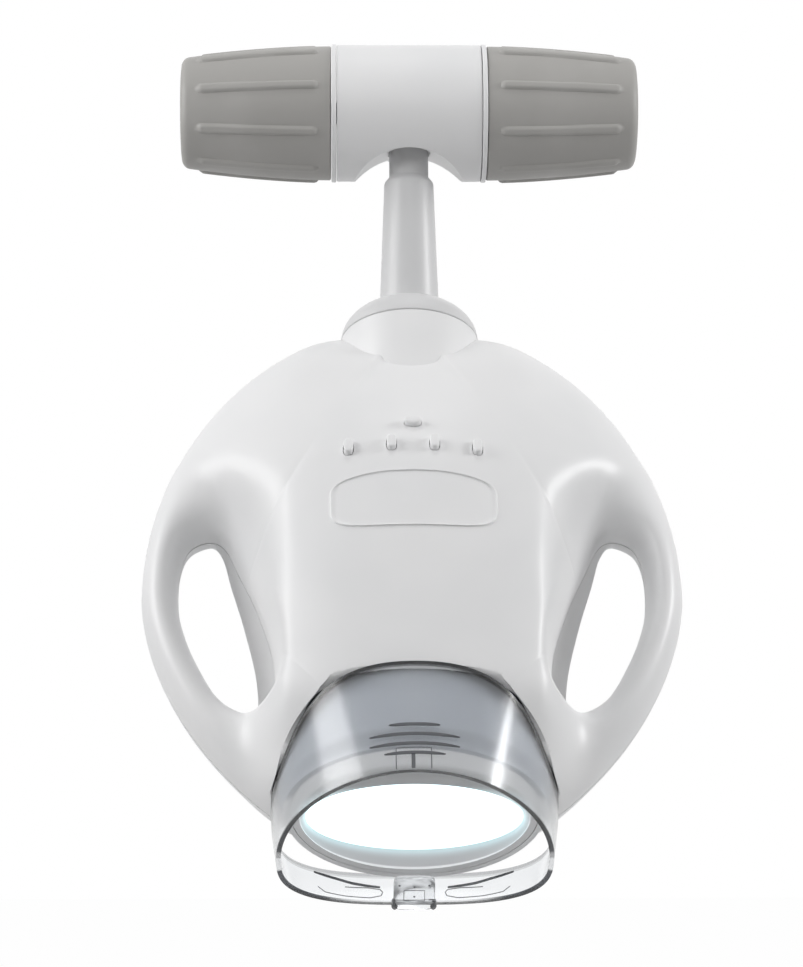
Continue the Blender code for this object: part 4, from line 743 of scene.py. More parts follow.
def nearest(points, loop):
    """Distance from each point to a closed loop."""
    found = np.full(points.shape[:-1], np.inf)
    for start, end in zip(loop, np.roll(loop, -1, axis=0)):
        run = end - start
        share = np.clip((points - start) @ run / max(run @ run, 1e-12), 0, 1)
        away = points - start - share[..., None] * run
        found = np.minimum(found, np.hypot(away[..., 0], away[..., 1]))
    return found


def rolled_edge(distance, reach, height, power=2.0):
    """Height of a rounded edge at a distance inside it."""
    share = 1 - np.clip(distance / reach, 0, 1)
    return height * np.clip(1 - share ** 2, 0, 1) ** (1 / power)


def grip_height(to_hole, to_outline, height):
    """Height of the grip bar, oval between the finger hole and the outline."""
    return height * 2 * np.sqrt(to_hole * to_outline) / (to_hole + to_outline + 1e-7)


def front_face(u, v, to_hole, to_outline):
    """Height of the front shell over the parting plane."""
    panel = FRONT_HEIGHT - PANEL_CROWN * (u / PANEL_CROWN_WIDTH) ** 2
    nose = soft_step((v - NOSE_DROP_START) / NOSE_DROP_REACH)
    panel = panel - NOSE_DROP * nose * soft_step(u / PANEL_CROWN_WIDTH)
    low = soft_step((v - LOW_REACH_START) / LOW_REACH_LENGTH)
    reach = FRONT_EDGE_REACH + (FRONT_LOW_REACH - FRONT_EDGE_REACH) * low
    body = soft_lower(panel, rolled_edge(to_outline, reach, FRONT_HEIGHT, FRONT_EDGE_POWER),
                      CORNER_BLEND)
    body = np.minimum(body, rolled_edge(to_hole, HOLE_EDGE_REACH, HOLE_EDGE_HEIGHT))
    grip = grip_height(to_hole, to_outline, BAR_HEIGHT)
    rise = np.clip((CREST_FLARE_START - v) / CREST_FLARE_REACH, 0, CREST_FLARE_MOST)
    fall = np.clip((v - CREST_FLARE_START) / HEAD_FALL, 0, 1)
    crest = CREST_HALF_WIDTH - CREST_DIP * fall * (1 - fall) + CREST_FLARE * rise ** CREST_POWER
    keep = 1 - soft_step((u - crest) / WALL_REACH)
    return np.maximum(grip + (body - grip) * keep, 0)


def rear_face(u, v, to_hole, to_outline):
    """Depth of the rear shell under the parting plane."""
    body = np.minimum(rolled_edge(to_outline, BACK_EDGE_REACH, BACK_DEPTH, BACK_EDGE_POWER),
                      rolled_edge(to_hole, BACK_HOLE_REACH, BACK_DEPTH))
    grip = grip_height(to_hole, to_outline, BACK_BAR_DEPTH)
    keep = 1 - soft_step((u - CREST_HALF_WIDTH - HOLE_FLARE) / WALL_REACH)
    return np.maximum(grip + (body - grip) * keep, 0)


def even_steps(path, count):
    """Steps along a path that suit both its points and the hole's points facing them."""
    spread = 0
    for axis in (0, 2):
        lengths = np.hypot(*np.diff(path[:, axis:axis + 2], axis=0).T)
        spread = spread + lengths / lengths.sum()
    spread = np.concatenate([[0], np.cumsum(spread)])
    marks = np.linspace(0, spread[-1], count, endpoint=False)
    return np.column_stack([np.interp(marks, spread, column) for column in path.T])


def face_grid(flare):
    """Rows of places from the finger hole straight out to the edge of the right half.

    The hole's loop on the parting line is returned with them.
    """
    side = head_outline()
    hole = np.hstack([finger_hole(flare), finger_hole(0.0)])
    centre = hole[:, 2:].mean(axis=0)
    turns = np.arctan2(*(hole[:, :2] - centre).T)
    order = np.argsort(turns)
    turns = np.concatenate([turns[order] + lap for lap in (-2 * math.pi, 0, 2 * math.pi)])
    hole = np.vstack([hole[order]] * 3)
    parts = []
    for path, count in ((side, AROUND_SIDE),
                        (np.linspace(side[-1], side[0], MIDDLE_STEPS), AROUND - AROUND_SIDE)):
        ways = np.arctan2(*(path - centre).T)
        facing = np.column_stack([np.interp(ways, turns, column) for column in hole.T])
        parts.append(even_steps(np.hstack([path, facing]), count))
    outer, inner, seam = np.split(np.vstack(parts), 3, axis=1)
    t = np.linspace(0, 1, OUTWARD + 1)[:, None, None]
    share = EDGE_CROWDING * 0.5 * (1 - np.cos(math.pi * t)) + (1 - EDGE_CROWDING) * t
    return inner[None] * (1 - share) + outer[None] * share, seam


def soften(rise, free):
    """Even out a height grid as polishing the mould does, leaving its edges where they are."""
    for _ in range(SOFTEN_PASSES):
        outside = np.concatenate([rise[1:], rise[-2:-1]])
        inside = np.concatenate([rise[:1], rise[:-1]])
        mean = (outside + inside + np.roll(rise, 1, axis=1) + np.roll(rise, -1, axis=1)) / 4
        rise = rise + (mean - rise) * free
    return rise


def shell(name, side, height, flare=0.0, flare_depth=0.0):
    """One moulded half over both mirrored grids: an outer face, an inner face and a rim."""
    rows, seam = face_grid(flare)
    outline = head_outline()[::4]
    outline = np.vstack([outline, outline[::-1] * (-1, 1)])
    to_hole = nearest(rows, finger_hole(flare)[::2])
    to_outline = nearest(rows, outline)
    to_hole[0] = 0
    to_outline[-1, :AROUND_SIDE + 1] = 0
    rise = height(rows[..., 0], rows[..., 1], to_hole, to_outline)
    free = SOFTEN_SHARE * soft_step(np.minimum(to_hole, to_outline) / SOFTEN_MARGIN)
    rise = soften(rise, free * soft_step(rows[..., 0] / MIDDLE_HALF_WIDTH))
    if flare:
        pull = np.hypot(*(rows[0] - seam).T)
        share = FLARE_LEAST_DEPTH + (1 - FLARE_LEAST_DEPTH) * pull / pull.max()
        fade = np.linspace(1, 0, OUTWARD + 1)[:, None]
        rise = rise + flare_depth * share * (1 - rise / BACK_DEPTH) * fade
        steps = np.linspace(0, 1, FLARE_ROWS, endpoint=False)[:, None]
        band = seam[None] * (1 - steps[..., None]) + rows[0][None] * steps[..., None]
        rise = np.concatenate([rise[0][None] * steps, rise])
        rows = np.concatenate([band, rows])
    outer = np.dstack([rows, side * (rise + PARTING_GAP / 2)])
    last = len(rows) - 1
    points, index = [], {}
    for mirror in (0, 1):
        for j in range(last + 1):
            for i in range(AROUND):
                if mirror and j == last and (i == 0 or i >= AROUND_SIDE):
                    index[1, j, i] = index[0, j, i]
                    continue
                u, v, w = outer[j, i]
                points.append((-u if mirror else u, -v, w))
                index[mirror, j, i] = len(points) - 1
    faces = []
    for mirror in (0, 1):
        for j in range(last):
            for i in range(AROUND):
                k = (i + 1) % AROUND
                face = (index[mirror, j, i], index[mirror, j, k],
                        index[mirror, j + 1, k], index[mirror, j + 1, i])
                faces.append(face if (mirror == 0) == (side > 0) else face[::-1])
    piece = make_piece(name, points, faces, HEAD_WAY, WHITE, facing=side * W_DIR)
    wall = piece.modifiers.new("wall", "SOLIDIFY")
    wall.thickness = SHELL_WALL
    wall.offset = -1
    return carve(piece)


front = shell("front_housing", 1, front_face)
rear = shell("rear_housing", -1, rear_face, HOLE_FLARE, HOLE_FLARE_DEPTH)

# The room for the neck, the nose and the light guide is cut out of both halves together.

OUTLET_LEAN = math.radians(14)
OUTLET_DOWN = 0.2400
OUTLET_OUT = 0.0200
GUIDE_HALF_WIDTH = 0.0582
GUIDE_CENTRE = -0.0140
GUIDE_TOP = 0.0480
GUIDE_BOTTOM = -0.0470
GUIDE_TOP_POWER = 1.9
GUIDE_BACK_FULLNESS = 5.5
GUIDE_LOW_POWER = 3.0
GUIDE_FLARE = 0.13
GUIDE_TOP_FLARE = 0.05
GUIDE_LIP = 0.0120
GUIDE_WALL = 0.0020
# Heights over the light's axis, and where the guide ends behind at each.
GUIDE_BACK_LINE = ((-0.060, -0.0022), (-0.012, -0.0040), (-0.006, -0.0101), (0.0, -0.0141),
                   (0.0149, -0.0172), (0.0288, -0.0295), (0.0374, -0.0363), (0.0432, -0.0400),
                   (0.0518, -0.0440))
GUIDE_BACK_ROUND = 0.0060
GUIDE_BACK_SAMPLES = 13
GUIDE_CLEARANCE = 0.0005
GUIDE_BACK_GAP = 0.0009
ROOM_TOP_SPARE = 0.0008
ROOM_BACK = -0.0480
ROOM_FRONT = 0.0600
KEEP_HALF_WIDTH = 0.0800
KEEP_HALF_HEIGHT = 0.0640
KEEP_FRONT = 0.0700
KEEP_STEPS = 80
GUIDE_POINTS = 192

OUT_DIR = V_DIR * math.cos(OUTLET_LEAN) + W_DIR * math.sin(OUTLET_LEAN)
UP_DIR = W_DIR * math.cos(OUTLET_LEAN) - V_DIR * math.sin(OUTLET_LEAN)
OUTLET_POINT = SEAM_POINT + OUTLET_DOWN * V_DIR + OUTLET_OUT * W_DIR
OUTLET_WAY = placing(OUTLET_POINT, U_DIR, UP_DIR, OUT_DIR)


def dee(half_x, top, bottom, centre, k, top_power=2.0, low_power=2.0, count=GUIDE_POINTS):
    """Rounded D: its upper and lower halves meet at centre, each with its own fullness."""
    loop = []
    for step in range(count):
        turn = 2 * math.pi * step / count
        c, s = math.cos(turn), math.sin(turn)
        power = top_power if s >= 0 else low_power
        reach = top - centre if s >= 0 else centre - bottom
        loop.append((half_x * math.copysign(abs(c) ** (2 / power), c),
                     centre + reach * math.copysign(abs(s) ** (2 / power), s), k))
    return loop


def guide_section(k, inset=0.0, spare=0.0):
    """Section of the light guide: it narrows towards its lip."""
    flare = GUIDE_LIP - k
    return dee(GUIDE_HALF_WIDTH + flare * GUIDE_FLARE - inset,
               GUIDE_TOP + flare * GUIDE_TOP_FLARE - inset + spare, GUIDE_BOTTOM + inset,
               GUIDE_CENTRE, k, GUIDE_TOP_POWER + flare * GUIDE_BACK_FULLNESS, GUIDE_LOW_POWER)


def guide_back(height):
    """Where the guide ends behind, at a height over the light's axis."""
    near = height + np.linspace(-GUIDE_BACK_ROUND, GUIDE_BACK_ROUND, GUIDE_BACK_SAMPLES)
    return float(np.interp(near, *zip(*GUIDE_BACK_LINE)).mean())


room_loops = [guide_section(k, -GUIDE_CLEARANCE, ROOM_TOP_SPARE) for k in (ROOM_BACK, GUIDE_LIP)]
room_loops.append([(x, y, ROOM_FRONT) for x, y, k in room_loops[-1]])
room = stacked("guide_room", room_loops, OUTLET_WAY, None)
side_view = [(y, guide_back(y) - GUIDE_BACK_GAP)
             for y in np.linspace(-KEEP_HALF_HEIGHT, KEEP_HALF_HEIGHT, KEEP_STEPS)]
side_view += [(KEEP_HALF_HEIGHT, KEEP_FRONT), (-KEEP_HALF_HEIGHT, KEEP_FRONT)]
keep = stacked("keep", [[(x, y, k) for y, k in side_view]
                        for x in (-KEEP_HALF_WIDTH, KEEP_HALF_WIDTH)], OUTLET_WAY, None)
carve(room, keep, operation="INTERSECT")

NOSE_WALL = 0.0022
NOSE_LENGTH = 0.0425
NOSE_HALF_WIDTH = 0.0545
NOSE_CENTRE = -0.0030
NOSE_TOP = 0.0395
NOSE_BOTTOM = -0.0440
NOSE_TUCK_START = 0.0130
NOSE_TUCK = 0.35
NOSE_SWELL_TOP = 0.0050
NOSE_SWELL_SIDE = 0.0024
NOSE_ROOM_FRONT = 0.0040
BEZEL_SLOPE = 0.077


def nose_section(k, inset=0.0, slope=0.0):
    """Section of the nose; its face leans back at the top, and it tucks in behind."""
    tuck = NOSE_TUCK * max(-k - NOSE_TUCK_START, 0)
    swell = float(soft_step(-k / NOSE_TUCK_START))
    return [(x, y, k - slope * (y - NOSE_BOTTOM)) for x, y, _ in
            dee(NOSE_HALF_WIDTH - inset + NOSE_SWELL_SIDE * swell,
                NOSE_TOP - inset + NOSE_SWELL_TOP * swell, NOSE_BOTTOM + tuck + inset,
                NOSE_CENTRE, k)]


nose_steps = (-NOSE_LENGTH - SEAM, -NOSE_TUCK_START, -NOSE_TUCK_START / 2, NOSE_ROOM_FRONT)
nose_room = stacked("nose_room", [nose_section(k, -SEAM) for k in nose_steps], OUTLET_WAY, None)
neck_room = cylinder("neck_room", NECK_RADIUS + SEAM / 2, -NECK_LENGTH, NECK_LENGTH, NECK_WAY)

# Cooling slots in the rear half, and the small openings for the five buttons.

VENT_COUNT = 7
VENT_WIDTH = 0.0030
VENT_PITCH = 0.0070
VENT_HALF_LENGTH = 0.0210
VENT_DOWN = 0.1240
VENT_POWER = 8
VENT_CUT = (-0.0040, 0.0080)
BUTTON_TILT = math.radians(12)
BUTTON_POWER = 2.6
BUTTON_PROUD = 0.0030
BUTTON_CUT = (-0.0120, 0.0080)
PILL_POINTS = 48
LOOK_START = 0.1
LOOK_SHIFT = 0.0002
# Each button's name, place across and down, half width, half height and fullness.
BUTTONS = (("power_button", 0, 0.0680, 0.0036, 0.0022, 2.0),
           ("mode_button_1", -0.0279, 0.0812, 0.0021, 0.0036, BUTTON_POWER),
           ("mode_button_2", -0.0093, 0.0800, 0.0021, 0.0036, BUTTON_POWER),
           ("mode_button_3", 0.0093, 0.0800, 0.0021, 0.0036, BUTTON_POWER),
           ("mode_button_4", 0.0279, 0.0812, 0.0021, 0.0036, BUTTON_POWER))

PRESS_DIR = W_DIR * math.cos(BUTTON_TILT) - V_DIR * math.sin(BUTTON_TILT)
PANEL_UP = -V_DIR * math.cos(BUTTON_TILT) - W_DIR * math.sin(BUTTON_TILT)


def pill(half_x, half_y, k, power, count=PILL_POINTS):
    """Loop that is the same above and below its middle."""
    return dee(half_x, half_y, -half_y, 0, k, power, power, count)


def drop_on(piece, u, v):
    """Height at which a line square to the head meets a piece."""
    start = SEAM_POINT + (u + LOOK_SHIFT) * U_DIR + v * V_DIR + LOOK_START * W_DIR
    hit, spot, _, _ = piece.ray_cast(start, -W_DIR)
    return (spot - SEAM_POINT).dot(W_DIR) if hit else None


bpy.context.view_layer.update()
cutters = []
button_ways = {}
for name, u, v, half_x, half_y, power in BUTTONS:
    spot = SEAM_POINT + u * U_DIR + v * V_DIR + drop_on(front, u, v) * W_DIR
    button_ways[name] = placing(spot, U_DIR, PANEL_UP, PRESS_DIR)
    cutters.append(stacked(name + "_hole", [pill(half_x + SEAM, half_y + SEAM, k, power)
                                            for k in BUTTON_CUT], button_ways[name], None))
vents = []
for index in range(VENT_COUNT):
    v = VENT_DOWN + (index - (VENT_COUNT - 1) / 2) * VENT_PITCH
    vents.append(stacked("vent", [[(x, y - v, z - BACK_DEPTH) for x, y, z in
                                   pill(VENT_HALF_LENGTH, VENT_WIDTH / 2, cut, VENT_POWER)]
                                  for cut in VENT_CUT], HEAD_WAY, None))
rooms = (neck_room, room, nose_room)
carve(front, *[linked(tool.name + "_twin", tool.data) for tool in rooms], *cutters)
carve(rear, *rooms, *vents)
crisp(front, SHELL_SHARP_DEG)
crisp(rear, SHELL_SHARP_DEG)
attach(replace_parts(front, "front_shell"), "head")
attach(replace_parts(rear, "rear_shell"), "head")


# Buttons: five small white pills on the panel, each standing on a tact switch. They are
# moulded with a soft crown and come up through close openings.

BUTTON_ROUND = 0.0010
BUTTON_STEM = 0.0080
BUTTON_STEPS = 6
BUTTON_CROWN = 0.00005
BUTTON_FLATNESS = 0.8
SMOOTH_DEG = 60

for name, u, v, half_x, half_y, power in BUTTONS:
    loops = [pill(half_x, half_y, -BUTTON_STEM, power)]
    for step in range(BUTTON_STEPS + 1):
        turn = math.pi / 2 * step / BUTTON_STEPS
        shrink = BUTTON_ROUND * (1 - math.cos(turn))
        drop = BUTTON_ROUND * (1 - math.sin(turn)) * BUTTON_FLATNESS
        loops.append(pill(half_x - shrink, half_y - shrink, BUTTON_PROUD - drop, power))
    loops.append(pill((half_x - BUTTON_ROUND) / 2, (half_y - BUTTON_ROUND) / 2,
                      BUTTON_PROUD + BUTTON_CROWN, power))
    button = stacked(name + "_cap", loops, button_ways[name], WHITE, sharp_deg=SMOOTH_DEG)
    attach(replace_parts(button, name), name)


# Name plate: a bare white plate with an arched top, let into the panel below the buttons.
# It is a thin moulding stuck in a shallow bed, and a fine bead runs round its edge.

PLATE_DOWN = 0.1080
PLATE_HALF_WIDTH = 0.0360
PLATE_HALF_HEIGHT = 0.0140
PLATE_BEAD = 0.0008
PLATE_ARCH = 0.0040
PLATE_POWER = 5.0
PLATE_POINTS = 160
PLATE_SINK = 0.0004
PLATE_UNDER_SHARES = (0.05, 0.5, 1.0)
# Steps over the bead: how far out on the plate, and how high on the bead.
PLATE_BEAD_SHARES = ((1.0, 0.0001), (0.994, 0.7), (0.982, 1.0), (0.966, 0.8), (0.950, 0.2))
PLATE_FLAT_SHARES = (0.9, 0.75, 0.55, 0.35, 0.15, 0.03)
PLATE_FLAT_LIFT = 0.1


def plate_ring(share, lift):
    """Loop round the plate that follows the panel under it."""
    loop = []
    for x, y, _ in pill(PLATE_HALF_WIDTH * share, PLATE_HALF_HEIGHT * share, 0, PLATE_POWER,
                        PLATE_POINTS):
        sag = PLATE_ARCH * (x / PLATE_HALF_WIDTH) ** 2 * max(y, 0) / PLATE_HALF_HEIGHT
        loop.append((x, -(PLATE_DOWN - y + sag), drop_on(front, x, PLATE_DOWN - y + sag) + lift))
    return loop


bpy.context.view_layer.update()
plate_loops = [plate_ring(share, -PLATE_SINK) for share in PLATE_UNDER_SHARES]
plate_loops += [plate_ring(share, PLATE_BEAD * lift) for share, lift in PLATE_BEAD_SHARES]
plate_loops += [plate_ring(share, PLATE_BEAD * PLATE_FLAT_LIFT) for share in PLATE_FLAT_SHARES]
plate = stacked("bare_name_plate", plate_loops, HEAD_WAY, WHITE, sharp_deg=SHELL_SHARP_DEG)
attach(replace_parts(plate, "name_plate"), "head")


# Lamp engine: circuit boards, switches, aluminium sink and fan. They are hidden inside
# the head and stay as the CAD has them, with their real finishes.

def circuit_board():
    """Green solder mask with a faint pattern of copper tracks under it."""
    finish = Finish("green_solder_mask", (0.02, 0.14, 0.07), 0.35)
    finish.tint((0.03, 0.22, 0.10), finish.noise(0.002, 1.0, (1, 3, 1)).step(0.48, 0.52))
    return finish.material


def dark_moulding():
    """Black glass-filled nylon with a dull, slightly fibrous face."""
    finish = Finish("black_nylon", (0.025, 0.025, 0.028), 0.5)
    grain = finish.noise(0.001, 3.0)
    finish.rough(grain * 0.2 + 0.4)
    finish.bump(grain, 0.00002)
    return finish.material


refinish(circuit_board(), "control_board", "led_board")
refinish(dark_moulding(), "fan_frame", "fan_rotor", "power_button_switch",
         *[name + "_switch" for name, *_ in BUTTONS[1:]])
refinish(turned_metal("drawn_aluminium", (0.72, 0.73, 0.75), 0.32), "heat_sink", "reflector")


# Nose: an oval barrel in dull blue-grey plastic that carries the lamp engine. It shows as
# the grey field behind the clear light guide.

NOSE_FACE_SHARES = (1, 0.85, 0.7, 0.55, 0.4, 0.25, 0.1, 0)
PAINTED_LIGHT_EDGE_START = -0.0042
PAINTED_LIGHT_EDGE_END = -0.0036


def light_signal(finish, axis):
    """Signal of a place along one of the light's own directions: 0 across, 1 up, 2 out."""
    row = OUTLET_WAY.inverted()[axis]
    dot = finish.node("ShaderNodeVectorMath", {"operation": "DOT_PRODUCT"},
                      {0: finish.place, 1: tuple(row)[:3]})
    return Signal(finish, dot.outputs["Value"]) + row[3]


def blue_grey_moulding():
    """Dull blue-grey plastic whose front edge is painted pale, as painted light on a rim that lies
    in shade.
    """
    finish = Finish("blue_grey_plastic", (0.33, 0.348, 0.378), 0.48)
    finish.tint((0.74, 0.745, 0.755), light_signal(finish, 2).step(PAINTED_LIGHT_EDGE_START, PAINTED_LIGHT_EDGE_END))
    grain = finish.noise(0.0008, 2.0)
    finish.rough(grain * 0.06 + 0.45)
    return finish.material


def nose_skin(inset):
    """Loops of one face of the nose, from its back end to its sloping front."""
    loops = [nose_section(-NOSE_LENGTH, inset)]
    for share in NOSE_FACE_SHARES:
        loops.append(nose_section(-NOSE_TUCK_START * share, inset, BEZEL_SLOPE * (1 - share)))
    return loops


nose = stacked("nose_barrel_shell", nose_skin(0.0) + nose_skin(NOSE_WALL)[::-1], OUTLET_WAY,
               blue_grey_moulding(), closed=True)
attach(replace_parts(nose, "nose_barrel"), "head")


# Bezel: the satin grey ring pressed into the nose's mouth. Its face slopes in to the lens
# like a shallow bowl.

LENS_HALF_WIDTH = 0.0460
LENS_HALF_HEIGHT = 0.0235
LENS_DROP = 0.0145
LENS_THICKNESS = 0.0030
LENS_RECESS = 0.0100
# Steps over the pane's edge: how far forward, and how much larger all round.
LENS_CROWN = ((-0.0004, 0.0), (0.0, -0.0006), (0.0004, -0.0060))
BEZEL_LAND = 0.0030
LAND_SHADE_START = -0.0016
LAND_SHADE_END = -0.0008
PAINTED_GLOW_END_SHARE = 0.35
PAINTED_GLOW_LOW = 0.0040
PAINTED_GLOW_HIGH = 0.0120
BEZEL_BOWL_STEPS = 14


def satin_grey():
    """Satin silver-grey plastic with a soft metallic fleck, and the lens's light painted on as a
    glow where it is near.
    """
    finish = Finish("satin_silver_grey", (0.34, 0.345, 0.355), 0.30, Coat_Weight=0.3,
                    Coat_Roughness=0.08, Emission_Strength=0.26)
    fleck = finish.noise(0.0009, 2.0)
    finish.rough(fleck * 0.08 + 0.26)
    up, out = light_signal(finish, 1), light_signal(finish, 2)
    face = out + (up - NOSE_BOTTOM) * BEZEL_SLOPE
    finish.tint((0.66, 0.665, 0.675), face.step(LAND_SHADE_START, LAND_SHADE_END))
    outward = out.step(-LENS_RECESS, -LENS_RECESS * PAINTED_GLOW_END_SHARE)
    painted_glow = (1 - outward) * (1 - up.step(PAINTED_GLOW_LOW, PAINTED_GLOW_HIGH))
    finish.blend("Emission Color", (0, 0, 0), (0.72, 0.97, 1.0), painted_glow * painted_glow)
    return finish.material


def lens_loop(k, grow=0.0):
    """Oval of the pane, a little larger or smaller all round."""
    return [(x, y - LENS_DROP, k) for x, y, _ in
            dee(LENS_HALF_WIDTH + grow, LENS_HALF_HEIGHT + grow, -LENS_HALF_HEIGHT - grow, 0, k)]


lens_back = -(LENS_RECESS + LENS_THICKNESS)
fit = NOSE_WALL + SEAM
bezel_loops = [nose_section(0, fit, BEZEL_SLOPE), nose_section(lens_back, fit),
               lens_loop(lens_back, SEAM)]
mouth = nose_section(0, fit + BEZEL_LAND, BEZEL_SLOPE)
throat = lens_loop(-LENS_RECESS + SEAM, SEAM)
for step in range(BEZEL_BOWL_STEPS + 1):
    t = step / BEZEL_BOWL_STEPS
    lift = math.sin(math.pi / 2 * t)
    bezel_loops.append([(a[0] * (1 - t) + b[0] * t, a[1] * (1 - t) + b[1] * t,
                         a[2] * (1 - lift) + b[2] * lift) for a, b in zip(throat, mouth)])
bezel = stacked("bezel_ring", bezel_loops, OUTLET_WAY, satin_grey(), closed=True,
                sharp_deg=SHELL_SHARP_DEG)
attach(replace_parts(bezel, "bezel"), "head")


# Lens: a frosted diffuser pane let into the bezel. The lamp behind it is on, so the whole
# pane glows white with a cool rim.

COOL_RIM_START = 0.84


def glowing_diffuser():
    """Frosted acrylic lit from behind: white in the middle, pale cyan towards its rim."""
    finish = Finish("lit_frosted_acrylic", (0.92, 0.95, 0.97), 0.4, Emission_Strength=1.3)
    across = light_signal(finish, 0) / LENS_HALF_WIDTH
    up = (light_signal(finish, 1) + LENS_DROP) / LENS_HALF_HEIGHT
    finish.blend("Emission Color", (1, 1, 1), (0.72, 0.95, 1.0),
                 (across * across + up * up).math("SQRT").step(COOL_RIM_START, 1.0))
    return finish.material


lens_loops = [lens_loop(lens_back)]
lens_loops += [lens_loop(-LENS_RECESS + lift, grow) for lift, grow in LENS_CROWN]
lens = stacked("diffuser_lens", lens_loops, OUTLET_WAY, glowing_diffuser(),
               sharp_deg=SHELL_SHARP_DEG)
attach(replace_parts(lens, "lens"), "head")


# Light guide: a clear sleeve of moulded acrylic that pushes over the nose. Its back edge
# is cut to the arch of the head, and its cut edges are painted dark as shade.

GUIDE_ROWS = 40
BACK_EDGE = 0.0016
BACK_EDGE_ROWS = (0, 0.5, 1, 1.15)
LIP_EDGE = 0.0007
LIP_EDGE_ROWS = (1.2, 1, 0)
NOTCH_LOW = -0.0215
NOTCH_HIGH = -0.0135
# How dark the painted shade is on the three rows of the cut back edge.
BACK_SHADES = (1.0, 0.95, 0.75)
LOW_BACK = -0.0200
LOW_BACK_SHADE = 0.4
# Painted shade of the lip in the middle and at the corners, where it starts to change and over how
# far.
LIP_SHADES_ABOVE = (0.25, 0.75, 0.80, 0.20)
LIP_SHADES_BELOW = (0.35, 1.00, 0.35, 0.35)
GUIDE_SHARP_DEG = 40


def clear_acrylic():
    """Clear acrylic, faintly grey, painted near black as shade where its edges turn the light
    away.
    """
    finish = Finish("clear_acrylic", (0.93, 0.945, 0.96), 0.17, Transmission_Weight=1.0, IOR=1.45)
    shade = finish.node("ShaderNodeAttribute", {"attribute_name": "edge_shade"}).outputs["Fac"]
    finish.tint((0.006, 0.007, 0.009), Signal(finish, shade))
    smear = finish.noise(0.012, 3.0)
    finish.rough(smear.step(0.5, 0.8) * 0.04 + 0.15)
    return finish.material


def edge_shaded(piece, shades):
    """Store the painted shade of each point of a piece's edges."""
    layer = piece.data.attributes.new("edge_shade", "FLOAT", "POINT")
    layer.data.foreach_set("value", shades)


def lip_shade(x, y):
    """Painted shade on the lip: black at its lower corners and pale along its top and foot."""
    if NOTCH_LOW < y < NOTCH_HIGH:
        return 0.0
    pale, dark, start, run = LIP_SHADES_ABOVE if y > GUIDE_CENTRE else LIP_SHADES_BELOW
    return pale + (dark - pale) * float(soft_step((abs(x) / GUIDE_HALF_WIDTH - start) / run))


def guide_run(start, end):
    """Points along one line of the guide, with rows close beside its two cut edges."""
    span = end[2] - start[2]
    marks = [BACK_EDGE * share for share in BACK_EDGE_ROWS]
    ends = [span - LIP_EDGE * share for share in LIP_EDGE_ROWS]
    middle = np.linspace(marks[-1], ends[0], GUIDE_ROWS - len(marks) - len(ends) + 2)[1:-1]
    shares = [place / span for place in (*marks, *middle, *ends)]
    return [tuple(a * (1 - t) + b * t for a, b in zip(start, end)) for t in shares]


base = guide_section(0)
backs = [guide_back(y) for _, y, _ in base]
shades = [[shade if y > LOW_BACK else LOW_BACK_SHADE for _, y, _ in base] for shade in BACK_SHADES]
shades += [[0.0] * GUIDE_POINTS] * (GUIDE_ROWS - len(BACK_SHADES) - 2)
shades += [[lip_shade(x, y) for x, y, _ in base]] * 2
guide_loops = []
for inset, way in ((GUIDE_WALL, 1), (0.0, -1)):
    lip = guide_section(GUIDE_LIP, inset)
    runs = [guide_run(guide_section(k, inset)[index], lip[index]) for index, k in enumerate(backs)]
    guide_loops += list(zip(*runs))[::way]
ACRYLIC = clear_acrylic()
guide = stacked("clear_light_guide", guide_loops, OUTLET_WAY, ACRYLIC, closed=True,
                sharp_deg=GUIDE_SHARP_DEG)
edge_shaded(guide, [shade for row in shades + shades[::-1] for shade in row])
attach(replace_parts(guide, "light_guide"), "light_guide")


# Guide mouldings: the grip ribs over the guide, the outline of its latch, and on its floor
# two curved stops and two long pads. They are raised a few tenths of a millimetre and
# painted dark as shade, for the light their steep little flanks turn away.

# Each grip rib's place along the guide and its half length.
RIB_PLACES = ((-0.0103, 0.0105), (-0.0056, 0.0185), (-0.0009, 0.0185), (0.0037, 0.0125))
RIB_WIDTH = 0.0013
RIB_RISE = 0.0007
RIB_SHIFT = 0.0009
RIB_END = 0.1
LINE_WIDTH = 0.0004
LINE_RISE = 0.00012
LINE_STEP = 0.0008
LINE_SINK = 0.2
LINE_SHOULDER = 0.6
LINE_FULL_AT = 0.4
# The lines below are places across the guide and along it.
LATCH = ((-0.0086, 0.0112), (-0.0086, 0.0011), (0.0058, 0.0011), (0.0058, 0.0112))
LATCH_POST_WIDTH = 0.0016
LATCH_POST = ((-0.0016, 0.0040), (-0.0016, 0.0112))
STOP_WIDTH = 0.00104
STOP_END = 0.6
STOP = ((0.0426, -0.0003), (0.0392, 0.0002), (0.0328, 0.0014), (0.0264, 0.0030),
        (0.0204, 0.0039), (0.0144, 0.0045))
PAD = ((0.0408, 0.0069), (0.0378, 0.0090), (0.0294, 0.0098), (0.0187, 0.0100), (0.0140, 0.0088),
       (0.0133, 0.0070), (0.0144, 0.0056), (0.0196, 0.0049), (0.0294, 0.0051))


def oval_height(x, half, end, power):
    """Height of the guide's section at a place across it."""
    return GUIDE_CENTRE + (end - GUIDE_CENTRE) * (1 - (abs(x) / half) ** power) ** (1 / power)


def roof(x, k):
    """Height of the guide's outer face above, at a place across and along it."""
    flare = GUIDE_LIP - k
    return oval_height(x, GUIDE_HALF_WIDTH + flare * GUIDE_FLARE,
                       GUIDE_TOP + flare * GUIDE_TOP_FLARE,
                       GUIDE_TOP_POWER + flare * GUIDE_BACK_FULLNESS)


def floor(x, k):
    """Height of the guide's inner face below."""
    return oval_height(x, GUIDE_HALF_WIDTH + (GUIDE_LIP - k) * GUIDE_FLARE - GUIDE_WALL,
                       GUIDE_BOTTOM + GUIDE_WALL, GUIDE_LOW_POWER)


